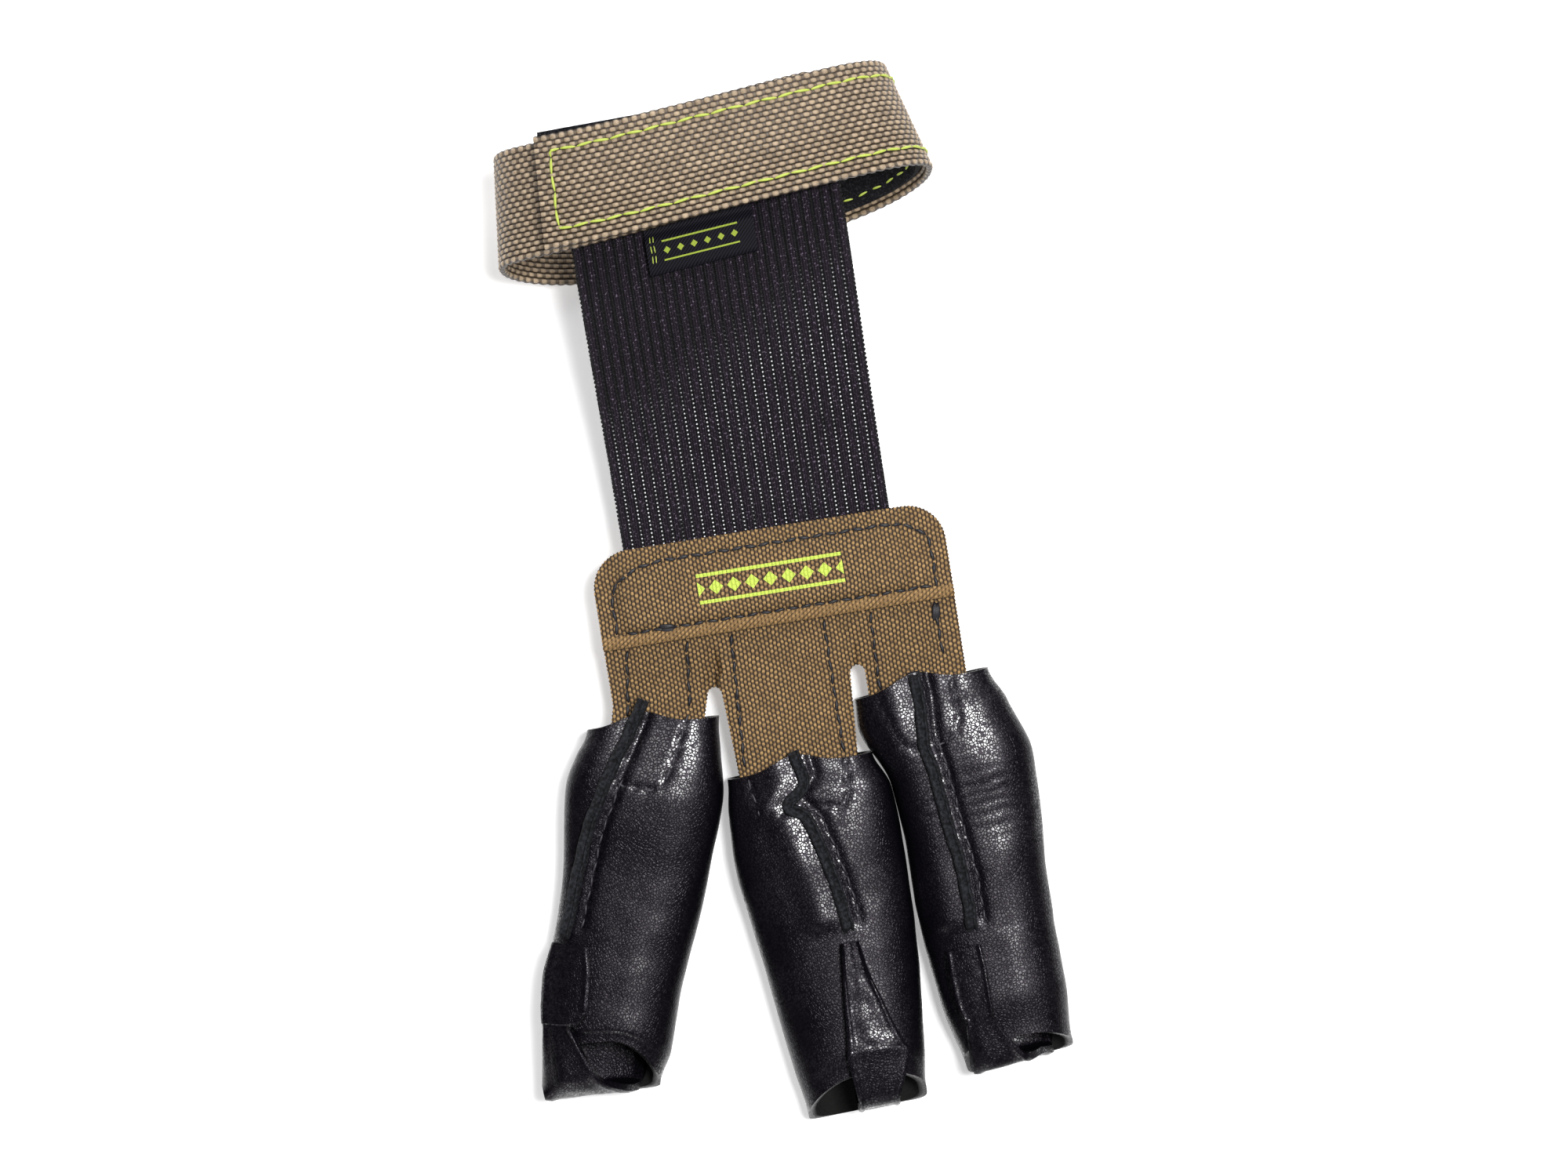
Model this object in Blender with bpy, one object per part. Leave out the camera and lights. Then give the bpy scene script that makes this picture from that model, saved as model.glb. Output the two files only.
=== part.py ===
"""Three-finger archery glove, lying palm down with its wrist strap closed.

Lengths are in metres, +X to the right across the back of the hand, +Y towards the wrist, +Z up.
The design is laid out from the middle of the yoke's hem, and at the end the whole glove is set
with the middle of its outline over the origin and its underside on the floor.
"""
import math

import bmesh
import bpy
from mathutils import Vector

MM = 0.001
GAP = 0.3 * MM

# Elastic band over the back of the hand
ELASTIC_WIDTH = 50 * MM
ELASTIC_THICK = 1.2 * MM
ELASTIC_REACH = 57 * MM
ELASTIC_TUCK = 13.5 * MM
ELASTIC_TOP_MARGIN = 1.5 * MM
ELASTIC_RISES = 1 * MM
ELASTIC_ROWS = 18
ELASTIC_COLUMNS = 9

# Wrist strap, a flat webbing wound into a ring that stands on its back
STRAP_WIDTH = 20 * MM
STRAP_THICK = 1.5 * MM
RING_WIDTH = 77.4 * MM
RING_HEIGHT = 31.5 * MM
RING_FLARE = 2.0 * MM
RING_OFF_CENTRE = 0.5 * MM
RING_TURNED = math.radians(5)
RING_LEANING = 5 * MM
RING_BOWED_LEFT = 3.4 * MM
RING_BOWED_RIGHT = 1.8 * MM
RING_FLATTENED = 0.8 * MM
RING_ROUNDNESS = 2.5
STRAP_STARTS = 24.3 * MM
STRAP_ENDS = -28.0 * MM
STRAP_SET_BACK = 1.3 * MM
STEPS_ROUND_RING = 60
# how far before the right edge the outer layer begins to lift, how far before the first layer's
# end it lies clear of it, and where the first layer stops being set back
LIFT_STARTS = math.radians(25)
LIFT_ENDS = math.radians(6)
SET_BACK_ENDS = math.radians(150)

# Loop pad inside the strap's outer end
PAD_WIDTH = 17.5 * MM
PAD_THICK = 1.4 * MM
PAD_SKEW = 2.6 * MM
PAD_ENDS = 6 * MM

# Folded woven tag
LABEL_WIDTH = 20 * MM
LABEL_SHOWS = 7.6 * MM
LABEL_TUCK = 4.5 * MM
LABEL_THICK = 0.5 * MM
LABEL_SLIT = 0.35 * MM
LABEL_OFF_CENTRE = -1.6 * MM
# shares of the tag's way out at which its leaves have a fold line, and where the lower leaf ends
LABEL_FOLDS = (0.3, 0.65, 1.0)
LABEL_LOWER_ENDS = 0.42

# Woven panel with its tabs, and the yoke over its wrist end
PANEL_WIDTH = 66 * MM
PANEL_THICK = 1.0 * MM
PANEL_OFF_CENTRE = 1.5 * MM
PANEL_CORNER = 7 * MM
PANEL_HEIGHT = 10.6 * MM
PANEL_ARCH = 1.2 * MM
YOKE_LENGTH = 17.9 * MM
YOKE_THICK = 1.0 * MM
YOKE_EASE = 0.5 * MM
YOKE_STEP = 2.4 * MM
HEM_LENGTH = 2.2 * MM
HEM_THICK = 0.7 * MM
HEM_EDGE = 0.12
SLOT_WIDTH = 2.9 * MM
SLOT_TOP = 9.8 * MM
SLOT_PLACES = (-0.212, 0.197)
TAB_TUCK = 12.5 * MM
TAB_CLEAR = 0.6 * MM
TAB_SETTLES = 2 * MM
# how much of a stall's inner half width a tab may fill, at the mouth and at the tab's end
TAB_MOUTH_FILL = 0.90
TAB_END_FILL = 0.76
WEAVE_CELL = 4.4 * MM
CORNER_STEPS = 6
CUT_TOLERANCE = 0.02 * MM

# Leather of the stalls, its seam ridge and the tongues
LEATHER = 1.5 * MM
RIDGE_WIDTH = 2.6 * MM
RIDGE_RISE = 2.6 * MM
# shares: the crest's width of RIDGE_WIDTH, its slant for a seam at the section's edge, and how much
# of RIDGE_RISE is left where a tongue covers the seam
RIDGE_TOP = 0.88
RIDGE_SLANT = 0.4
FLAT = 0.12
UNDERSIDE_SQUARE = 3.4
NEAR_EDGE = 0.97
CURL_DEPTH = 4 * MM
SECTION_POINTS = 24
STALL_STEP = 0.09
STRIP_COLUMNS = 5
SHARP_ANGLE = math.radians(40)
SLOPE_STEP = 0.01

# the elastic's middle lies this far below the middle of the strap that covers it
UNDER_STRAP = STRAP_THICK / 2 + 2 * GAP + LABEL_THICK + ELASTIC_THICK / 2

# One row for each finger: where its stall hangs on the panel, and its size
# place: share of PANEL_WIDTH; reach: length of tab from the hem; aim: degrees towards +X;
# lip_slant: shares of the tip's rake that its left and right edges are without
STALLS = {
    "left": {"place": -0.405, "reach": 12.0 * MM, "aim": -14.7,
             "length": 71 * MM, "width": 30 * MM, "height": 13.4 * MM, "lip_slant": (0.0, 0.70)},
    "middle": {"place": 0.005, "reach": 26.8 * MM, "aim": 2.0,
               "length": 66.5 * MM, "width": 32 * MM, "height": 13.8 * MM, "lip_slant": (0.55, 0.35)},
    "right": {"place": 0.398, "reach": 15.1 * MM, "aim": 4.6,
              "length": 73.5 * MM, "width": 30 * MM, "height": 13.4 * MM, "lip_slant": (0.0, 0.45)},
}

# Sections of each stall from its mouth to its tip. Every value is a share:
# along, lean and rake of the length, side and width of the width, height of the height,
# seam of the section's half width and ridge of RIDGE_RISE. lean sets the left edge further along
# than the right one, and rake leaves the top behind the underside. square rounds the section:
# 2 is an ellipse, and more is nearer to a box.
COLUMNS = ("along", "side", "width", "height", "square", "seam", "ridge", "lean", "rake")
SECTIONS = {
    "left": (
        (0.00, 0.040, 0.80, 0.92, 4.0, -0.10, 0.80, 0.070, 0.000),
        (0.10, 0.030, 0.88, 0.96, 3.6, -0.42, 1.00, 0.040, 0.000),
        (0.23, 0.028, 0.975, 1.00, 3.0, -0.60, 1.00, 0.000, 0.000),
        (0.44, 0.022, 0.91, 0.98, 2.6, -0.78, 1.00, 0.000, 0.000),
        (0.58, 0.000, 0.870, 0.98, 2.5, -0.82, 0.90, 0.000, 0.000),
        (0.61, -0.010, 0.865, 0.98, 2.5, -0.82, FLAT, 0.000, 0.000),
        (0.755, -0.045, 0.84, 1.00, 2.5, -0.82, FLAT, 0.000, 0.010),
        (0.90, -0.050, 0.82, 1.02, 2.6, -0.84, FLAT, 0.030, 0.080),
        (1.00, -0.055, 0.73, 0.98, 2.8, -0.84, FLAT, 0.065, 0.160),
    ),
    "middle": (
        (0.00, -0.030, 0.87, 0.92, 4.4, -0.10, 0.80, 0.000, 0.000),
        (0.10, -0.010, 0.97, 0.98, 3.6, -0.16, 1.00, 0.000, 0.000),
        (0.24, -0.014, 1.00, 1.00, 2.9, 0.02, 1.00, 0.000, 0.000),
        (0.42, -0.008, 0.96, 0.98, 2.6, 0.12, 1.00, 0.000, 0.000),
        (0.46, -0.008, 0.94, 0.98, 2.6, 0.14, 0.90, 0.000, 0.000),
        (0.49, -0.006, 0.93, 0.98, 2.6, 0.15, FLAT, 0.000, 0.000),
        (0.58, -0.005, 0.89, 0.98, 2.5, 0.16, FLAT, 0.000, 0.000),
        (0.74, -0.005, 0.82, 1.00, 2.5, 0.16, FLAT, 0.000, 0.010),
        (0.87, -0.005, 0.77, 1.02, 2.6, 0.16, FLAT, 0.000, 0.060),
        (1.00, -0.008, 0.71, 0.98, 2.8, 0.16, FLAT, 0.000, 0.125),
    ),
    "right": (
        (0.00, -0.055, 0.86, 0.92, 4.0, -0.15, 0.80, 0.000, 0.000),
        (0.09, -0.030, 0.95, 0.97, 3.5, -0.22, 1.00, 0.000, 0.000),
        (0.23, 0.060, 0.905, 1.00, 3.0, -0.32, 1.00, 0.000, 0.000),
        (0.36, 0.047, 0.873, 0.98, 2.7, -0.30, 1.00, 0.000, 0.000),
        (0.55, -0.002, 0.850, 0.98, 2.5, -0.24, 0.90, 0.000, 0.000),
        (0.64, -0.010, 0.83, 0.99, 2.5, -0.24, 0.90, 0.000, 0.000),
        (0.67, -0.015, 0.82, 1.00, 2.5, -0.24, FLAT, 0.000, 0.010),
        (0.86, -0.015, 0.77, 1.02, 2.6, -0.24, FLAT, 0.000, 0.050),
        (1.00, -0.010, 0.68, 0.98, 2.8, -0.24, FLAT, 0.010, 0.085),
    ),
}

# Each tongue from its sewn end to the fingertip. along is a share of the stall's length, and left
# and right are shares of the section's half width. lip and foot are its left and right edge at the
# fingertip's lip and on the palm wall, as shares of the room between the side walls. wrap is how
# far its curl covers the side walls: 0 lies between them, and 1 is as wide as the tip.
TONGUES = {
    "left": {"along": (0.63, 0.71, 0.83, 0.92),
             "left": (-0.86, -0.90, -0.88, -0.84),
             "right": (-0.42, -0.30, -0.28, -0.46),
             "lip": (-0.98, -0.48),
             "foot": (-0.93, 0.90),
             "wrap": 1.0},
    "middle": {"along": (0.505, 0.60, 0.76, 0.90),
               "left": (0.04, -0.02, -0.10, -0.16),
               "right": (0.24, 0.30, 0.50, 0.68),
               "lip": (-0.17, 0.74),
               "foot": (-0.24, 0.63),
               "wrap": 0.0},
    "right": {"along": (0.685, 0.76, 0.86, 0.93),
              "left": (-0.62, -0.66, -0.68, -0.66),
              "right": (-0.16, -0.16, -0.20, -0.24),
              "lip": (-0.88, -0.26),
              "foot": (-0.93, 0.88),
              "wrap": 1.0},
}

# A tongue's curl round the fingertip, from the nail side down to the palm wall. down is the share of
# the way from the lip to the foot, height a share from the palm wall to the nail side, lip a share of
# the tip's slant, depth a share of CURL_DEPTH back from the fingertip, and wide a share of the wrap.
CURL = (
    {"down": 0.30, "height": 1.087, "lip": 0.45, "depth": 0.00, "wide": 1.0},
    {"down": 0.60, "height": 0.80, "lip": 0.00, "depth": 0.55, "wide": 1.0},
    {"down": 0.80, "height": 0.43, "lip": 0.00, "depth": 0.35, "wide": 0.8},
    {"down": 0.95, "height": 0.14, "lip": 0.00, "depth": 0.45, "wide": 0.0},
    {"down": 1.00, "height": 0.00, "lip": 0.00, "depth": 1.00, "wide": 0.0},
    {"down": 1.00, "height": 0.00, "lip": 0.00, "depth": 3.00, "wide": 0.0},
)

COLOURS = {
    "webbing": ((0.33, 0.25, 0.16), 0.85),
    "loop_pile": ((0.015, 0.014, 0.016), 0.95),
    "elastic": ((0.012, 0.010, 0.015), 0.75),
    "tag": ((0.012, 0.012, 0.013), 0.8),
    "panel_cloth": ((0.20, 0.12, 0.04), 0.85),
    "leather": ((0.010, 0.010, 0.013), 0.35),
}


def material(name):
    """The part's own plain finish for one kind of stuff."""
    made = bpy.data.materials.get(name) or bpy.data.materials.new(name)
    colour, roughness = COLOURS[name]
    made.use_nodes = True
    shader = made.node_tree.nodes["Principled BSDF"]
    shader.inputs["Base Color"].default_value = (*colour, 1)
    shader.inputs["Roughness"].default_value = roughness
    shader.inputs["Metallic"].default_value = 0
    return made


def add_object(name, stuff, mesh_builder):
    """One named object from a bmesh, with its faces turned out and its round sides smooth."""
    bmesh.ops.recalc_face_normals(mesh_builder, faces=mesh_builder.faces[:])
    mesh = bpy.data.meshes.new(name)
    mesh_builder.to_mesh(mesh)
    mesh_builder.free()
    mesh.materials.append(material(stuff))
    mesh.shade_smooth()
    mesh.set_sharp_from_angle(angle=SHARP_ANGLE)
    made = bpy.data.objects.new(name, mesh)
    bpy.context.collection.objects.link(made)
    return made


def add_strip(name, stuff, middle, thick):
    """A closed flat strip about a grid of middle points, one row after another."""
    rows, columns = len(middle), len(middle[0])
    builder = bmesh.new()
    faces = ([], [])
    for row in range(rows):
        for column in range(columns):
            lengthways = middle[min(row + 1, rows - 1)][column] - middle[max(row - 1, 0)][column]
            sideways = middle[row][min(column + 1, columns - 1)] - middle[row][max(column - 1, 0)]
            normal = lengthways.cross(sideways).normalized()
            for side, sign in zip(faces, (1, -1)):
                side.append(builder.verts.new(middle[row][column] + normal * (sign * thick / 2)))
    front, back = faces
    for row in range(rows - 1):
        for column in range(columns - 1):
            a = row * columns + column
            square = (a, a + 1, a + columns + 1, a + columns)
            builder.faces.new([front[i] for i in square])
            builder.faces.new([back[i] for i in reversed(square)])
    rim = list(range(columns))
    rim += [row * columns + columns - 1 for row in range(1, rows)]
    rim += [(rows - 1) * columns + column for column in range(columns - 2, -1, -1)]
    rim += [row * columns for row in range(rows - 2, 0, -1)]
    for here, there in zip(rim, rim[1:] + rim[:1]):
        builder.faces.new((front[here], back[here], back[there], front[there]))
    return add_object(name, stuff, builder)


def smooth_step(share):
    share = min(max(share, 0.0), 1.0)
    return share * share * (3 - 2 * share)


def mix(a, b, share):
    return a + (b - a) * share


def between(places, step):
    """The places, with more put evenly between those that are more than a step apart."""
    filled = [places[0]]
    for one, other in zip(places, places[1:]):
        count = max(1, round((other - one) / step))
        filled += [mix(one, other, i / count) for i in range(1, count + 1)]
    return filled


def signed_power(value, power):
    return math.copysign(abs(value) ** power, value)


def read_row(rows, share):
    """The table's values at a share of the way, on a smooth curve through its rows."""
    places = [row[0] for row in rows]
    last = len(rows) - 2
    index = max(i for i in range(last + 1) if places[i] <= share or i == 0)
    t = (share - places[index]) / (places[index + 1] - places[index])
    values = []
    for column in range(1, len(rows[0])):
        before, after = rows[index][column], rows[index + 1][column]
        start = slope_at(rows, index, column) * (places[index + 1] - places[index])
        end = slope_at(rows, index + 1, column) * (places[index + 1] - places[index])
        values.append(before * (2 * t ** 3 - 3 * t ** 2 + 1) + start * (t ** 3 - 2 * t ** 2 + t)
                      + after * (3 * t ** 2 - 2 * t ** 3) + end * (t ** 3 - t ** 2))
    return dict(zip(COLUMNS, [share] + values))


def sloping(rows, place):
    """The values of a table's columns at a place, straight from row to row."""
    for one, other in zip(rows, rows[1:]):
        if place <= other[0]:
            share = (place - one[0]) / (other[0] - one[0])
            return [mix(a, b, share) for a, b in zip(one[1:], other[1:])]
    return list(rows[-1][1:])


def slope_at(rows, index, column):
    """A slope that lets the curve through the rows neither overshoot nor dip."""
    if index in (0, len(rows) - 1):
        return 0.0
    before = (rows[index][column] - rows[index - 1][column]) / (rows[index][0] - rows[index - 1][0])
    after = (rows[index + 1][column] - rows[index][column]) / (rows[index + 1][0] - rows[index][0])
    if before * after <= 0:
        return 0.0
    return 2 * before * after / (before + after)


class Stall:
    """A finger stall's place, its sections and the points on them."""

    def __init__(self, name):
        size = STALLS[name]
        self.name = name
        self.rows = SECTIONS[name]
        self.length, self.width, self.height = size["length"], size["width"], size["height"]
        self.lip_slant = size["lip_slant"]
        aim = math.radians(size["aim"])
        self.forward = Vector((math.sin(aim), -math.cos(aim), 0))
        self.sideways = Vector((math.cos(aim), math.sin(aim), 0))
        self.root = Vector((PANEL_OFF_CENTRE + size["place"] * PANEL_WIDTH, -size["reach"], 0))

    def section(self, share):
        return read_row(self.rows, share)

    def locate(self, x, y):
        """Lengths along and to the side of the stall's middle line."""
        offset = Vector((x, y, 0)) - self.root
        return offset.dot(self.forward), offset.dot(self.sideways)

    def half_sizes(self, section, outward):
        half_width = section["width"] * self.width / 2 + outward
        return half_width, section["height"] * self.height / 2 + outward

    def point(self, section, angle, outward):
        """A point of the section's outline: angle 0 is the right edge, a quarter turn the top."""
        half_width, half_height = self.half_sizes(section, outward)
        square = section["square"] if math.sin(angle) > 0 else max(section["square"], UNDERSIDE_SQUARE)
        power = 2 / square
        side = half_width * signed_power(math.cos(angle), power)
        up = half_height * signed_power(math.sin(angle), power)
        return self.place(section, side, up + section["height"] * self.height / 2)

    def place(self, section, side, height):
        """World place of a spot in the section, with the section's lean and rake."""
        aside = side / (section["width"] * self.width / 2)
        tall = section["height"] * self.height
        left, right = self.lip_slant
        rake = section["rake"] * (1 - (right if side > 0 else left) * aside ** 2)
        along = section["along"] * self.length
        along += section["lean"] * self.length * (1 - aside) / 2
        along -= rake * self.length * smooth_step(height / tall)
        sideways = side + section["side"] * self.width
        spot = self.root + self.forward * along + self.sideways * sideways
        return Vector((spot.x, spot.y, height))

    def top(self, section, share, outward):
        """The outline's height above the floor at a share of its half width."""
        _, half_height = self.half_sizes(section, outward)
        share = min(abs(share), NEAR_EDGE)
        rise = (1 - share ** section["square"]) ** (1 / section["square"])
        return section["height"] * self.height / 2 + half_height * rise

    def bottom(self, section, share, outward):
        """The outline's lower height above the floor at a share of its half width."""
        _, half_height = self.half_sizes(section, outward)
        square = max(section["square"], UNDERSIDE_SQUARE)
        share = min(abs(share), NEAR_EDGE)
        return section["height"] * self.height / 2 - half_height * (1 - share ** square) ** (1 / square)

    def top_at(self, x, y, outward):
        """Height of the stall's upper wall over a spot near its mouth."""
        along, side = self.locate(x, y)
        section = self.section(min(max(along / self.length, 0), 1))
        half_width, _ = self.half_sizes(section, outward)
        return self.top(section, (side - section["side"] * self.width) / half_width, outward)

    def angle_of(self, section, share):
        """The angle at which the upper outline stands a share of its half width to the side."""
        share = min(max(share, -1), 1)
        return math.acos(signed_power(share, section["square"] / 2))


def stall_loop(stall, section, outward, with_ridge):
    """One loop of the stall's wall: round from the ridge's right foot to its left one, then the ridge."""
    half_width = section["width"] * stall.width / 2
    foot = RIDGE_WIDTH / 2 / half_width
    right = stall.angle_of(section, section["seam"] + foot)
    left = stall.angle_of(section, section["seam"] - foot) - math.tau
    loop = []
    for i in range(SECTION_POINTS):
        angle = mix(right, left, i / (SECTION_POINTS - 1))
        loop.append(stall.point(section, angle, outward))
    foot_right, foot_left = loop[0], loop[-1]
    tilt = section["seam"] * RIDGE_SLANT
    rise = Vector((stall.sideways.x * tilt, stall.sideways.y * tilt, 1)).normalized()
    for side in (-1, 1):
        if with_ridge:
            spot = foot_left.lerp(foot_right, 0.5 + side * RIDGE_TOP / 2)
            spot = spot + rise * RIDGE_RISE * section["ridge"]
        else:
            beside = stall.angle_of(section, section["seam"] + side * foot / 3)
            spot = stall.point(section, beside, outward)
        loop.append(spot)
    return loop


def add_stall(stall):
    """A leather tube, open at the mouth and the tip, with its seam ridge on the nail side."""
    builder = bmesh.new()
    walls = []
    for outward, with_ridge in ((0, True), (-LEATHER, False)):
        loops = []
        for along in between([row[0] for row in stall.rows], STALL_STEP):
            spots = stall_loop(stall, stall.section(along), outward, with_ridge)
            loops.append([builder.verts.new(spot) for spot in spots])
        walls.append(loops)
        for one, other in zip(loops, loops[1:]):
            for i in range(len(one)):
                j = (i + 1) % len(one)
                builder.faces.new((one[i], one[j], other[j], other[i]))
    outside, inside = walls
    for end in (0, -1):
        one, other = outside[end], inside[end]
        for i in range(len(one)):
            j = (i + 1) % len(one)
            builder.faces.new((one[i], one[j], other[j], other[i]))
    bmesh.ops.triangulate(builder, faces=[f for f in builder.faces if len(f.verts) > 3])
    return add_object(stall.name + "_finger_stall", "leather", builder)


def add_tongue(stall):
    """The leather strip from inside the fingertip, up round its end and back over the nail side."""
    table = TONGUES[stall.name]
    outward = RIDGE_RISE * FLAT + 2 * GAP + LEATHER / 2
    middle = []
    rows = list(zip(table["along"], table["left"], table["right"]))
    for along in between(table["along"], STALL_STEP / 2):
        left, right = sloping(rows, along)
        section = stall.section(along)
        line = []
        for column in range(STRIP_COLUMNS):
            share = mix(left, right, column / (STRIP_COLUMNS - 1))
            line.append(stall.point(section, stall.angle_of(section, share), outward))
        middle.append(line)
    end = stall.section(1.0)
    tall = end["height"] * stall.height
    low = LEATHER + GAP + LEATHER / 2
    half_width = end["width"] * stall.width / 2
    for row in CURL:
        back = row["lip"] * end["rake"] * stall.length + row["depth"] * CURL_DEPTH
        height = mix(low, tall, row["height"])
        room = half_width - low * (1 - row["wide"] * table["wrap"])
        line = []
        for column in range(STRIP_COLUMNS):
            across = column / (STRIP_COLUMNS - 1)
            side = mix(mix(*table["lip"], across), mix(*table["foot"], across), row["down"]) * room
            level = max(height, stall.bottom(end, side / room, -low))
            if row["lip"]:
                level = min(level, stall.top(end, side / half_width, outward))
            shift = end["lean"] * stall.length * (1 - side / half_width) / 2
            spot = stall.root + stall.forward * (stall.length - back + shift)
            spot += stall.sideways * (side + end["side"] * stall.width)
            line.append(Vector((spot.x, spot.y, level)))
        middle.append(line)
    return add_strip(stall.name + "_tip_tongue", "leather", middle, LEATHER)


def ring_place(angle, across, out):
    """A point of the wrist ring: angle runs round it, across its width, out from its middle."""
    half_width = (RING_WIDTH - STRAP_THICK) / 2 - RING_FLARE * across / (STRAP_WIDTH / 2)
    half_height = (RING_HEIGHT - STRAP_THICK) / 2

    def outline(a):
        side = half_width * signed_power(math.cos(a), 2 / RING_ROUNDNESS)
        up = half_height * signed_power(math.sin(a), 2 / RING_ROUNDNESS)
        return side, up - RING_FLATTENED * smooth_step(-math.sin(a))

    side, up = outline(angle)
    floor = STRAP_THICK / 2 - RING_HEIGHT / 2
    side_a, up_a = outline(angle - SLOPE_STEP)
    side_b, up_b = outline(angle + SLOPE_STEP)
    along = Vector((side_b - side_a, max(up_b, floor) - max(up_a, floor)))
    along.normalize()
    side += along.y * out
    up = max(up, floor) - along.x * out
    bow = (RING_BOWED_RIGHT if side > 0 else RING_BOWED_LEFT) * abs(side / half_width) ** 3
    lengthways = across + bow + RING_LEANING * up / RING_HEIGHT
    centre_y = YOKE_LENGTH + ELASTIC_REACH + STRAP_WIDTH / 2 - RING_LEANING / 2
    turned_x = side * math.cos(RING_TURNED) - lengthways * math.sin(RING_TURNED)
    turned_y = side * math.sin(RING_TURNED) + lengthways * math.cos(RING_TURNED)
    return Vector((RING_OFF_CENTRE + turned_x, centre_y + turned_y, up + RING_HEIGHT / 2))


def ring_angle(side):
    """The angle on the upper half of the ring that stands this far to its side."""
    half_width = (RING_WIDTH - STRAP_THICK) / 2
    return math.acos(signed_power(side / half_width, RING_ROUNDNESS / 2))


def overlap_lift(angle):
    """How far out the strap has moved to lie over its own first layer."""
    starts = math.tau - LIFT_STARTS
    ends = math.tau + ring_angle(STRAP_STARTS) - LIFT_ENDS
    return (STRAP_THICK + PAD_THICK + 2 * GAP) * smooth_step((angle - starts) / (ends - starts))


def add_strap():
    """The webbing: over the elastic, once round the wrist and over its own first layer."""
    first = ring_angle(STRAP_STARTS)
    last = math.tau + ring_angle(STRAP_ENDS)
    steps = round((last - first) / math.tau * STEPS_ROUND_RING)
    middle = []
    for step in range(steps + 1):
        angle = mix(first, last, step / steps)
        out = overlap_lift(angle)
        back = STRAP_SET_BACK * smooth_step((SET_BACK_ENDS - angle) / (SET_BACK_ENDS - first))
        middle.append([ring_place(angle, share * STRAP_WIDTH + back, out) for share in (-0.5, 0, 0.5)])
    return add_strip("wrist_strap", "webbing", middle, STRAP_THICK)


def add_pad():
    """The loop pad, under the strap's outer end and on along the inside of its back."""
    last = math.tau + ring_angle(STRAP_ENDS)
    first = math.tau - ring_angle(PAD_ENDS)
    steps = round((last - first) / math.tau * STEPS_ROUND_RING)
    middle = []
    for step in range(steps + 1):
        share = step / steps
        angle = mix(first, last, share)
        out = overlap_lift(angle) - (STRAP_THICK + PAD_THICK) / 2 - GAP
        shift = PAD_SKEW * smooth_step((share - 0.5) * 2)
        middle.append([ring_place(angle, shift + part * PAD_WIDTH, out) for part in (-0.5, 0, 0.5)])
    return add_strip("fastener_pad", "loop_pile", middle, PAD_THICK)


def strap_edge(x):
    """Where the first layer's finger-side edge lies above a spot across the hand, and its height."""
    lower = ring_place(ring_angle(x - RING_OFF_CENTRE), -STRAP_WIDTH / 2, 0)
    slope = math.tan(RING_TURNED)
    return lower.y - (lower.x - x) * slope, lower.z


def panel_level(x, y):
    """Height of the panel's middle: arched at the yoke, and following the stalls into their mouths."""
    share = (x - PANEL_OFF_CENTRE) / (PANEL_WIDTH / 2)
    level = PANEL_HEIGHT + PANEL_ARCH * (1 - share * share) * smooth_step(1 + y / YOKE_LENGTH)
    stall = min(stalls.values(), key=lambda each: abs(each.locate(x, y)[1]))
    inner = stall.top_at(x, y, -LEATHER) - TAB_CLEAR - PANEL_THICK / 2
    settled = stall.root.y + TAB_SETTLES
    return mix(level, inner, smooth_step(y / settled))


def elastic_level(x, y):
    """Height of the elastic's middle, from under the yoke up to the underside of the strap."""
    low = panel_level(x, min(y, YOKE_LENGTH)) + PANEL_THICK / 2 + GAP + ELASTIC_THICK / 2
    edge_y, edge_z = strap_edge(x)
    start = YOKE_LENGTH + ELASTIC_RISES
    return mix(low, edge_z - UNDER_STRAP, smooth_step((y - start) / (edge_y - start)))


def strap_level(x, y):
    """Height of the middle of the strap's first layer above a spot that it covers."""
    edge_y, _ = strap_edge(x)
    across = min(max(y - edge_y, 0), STRAP_WIDTH) - STRAP_WIDTH / 2
    side = x - RING_OFF_CENTRE + math.tan(RING_TURNED) * across
    half_width = (RING_WIDTH - STRAP_THICK) / 2 - RING_FLARE * across / (STRAP_WIDTH / 2)
    angle = math.acos(signed_power(side / half_width, RING_ROUNDNESS / 2))
    return ring_place(angle, across, 0).z


def add_elastic():
    """The ribbed band, sewn between panel and yoke at one end and under the strap at the other."""
    middle = []
    for row in range(ELASTIC_ROWS):
        line = []
        for column in range(ELASTIC_COLUMNS):
            x = ELASTIC_WIDTH * (column / (ELASTIC_COLUMNS - 1) - 0.5)
            edge_y, _ = strap_edge(x)
            first = YOKE_LENGTH - ELASTIC_TUCK
            last = edge_y + STRAP_WIDTH - ELASTIC_TOP_MARGIN
            y = mix(first, last, row / (ELASTIC_ROWS - 1))
            z = elastic_level(x, y)
            if y > edge_y:
                z = strap_level(x, y) - UNDER_STRAP
            line.append(Vector((x, y, z)))
        middle.append(line)
    return add_strip("elastic_band", "elastic", middle, ELASTIC_THICK)


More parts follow.
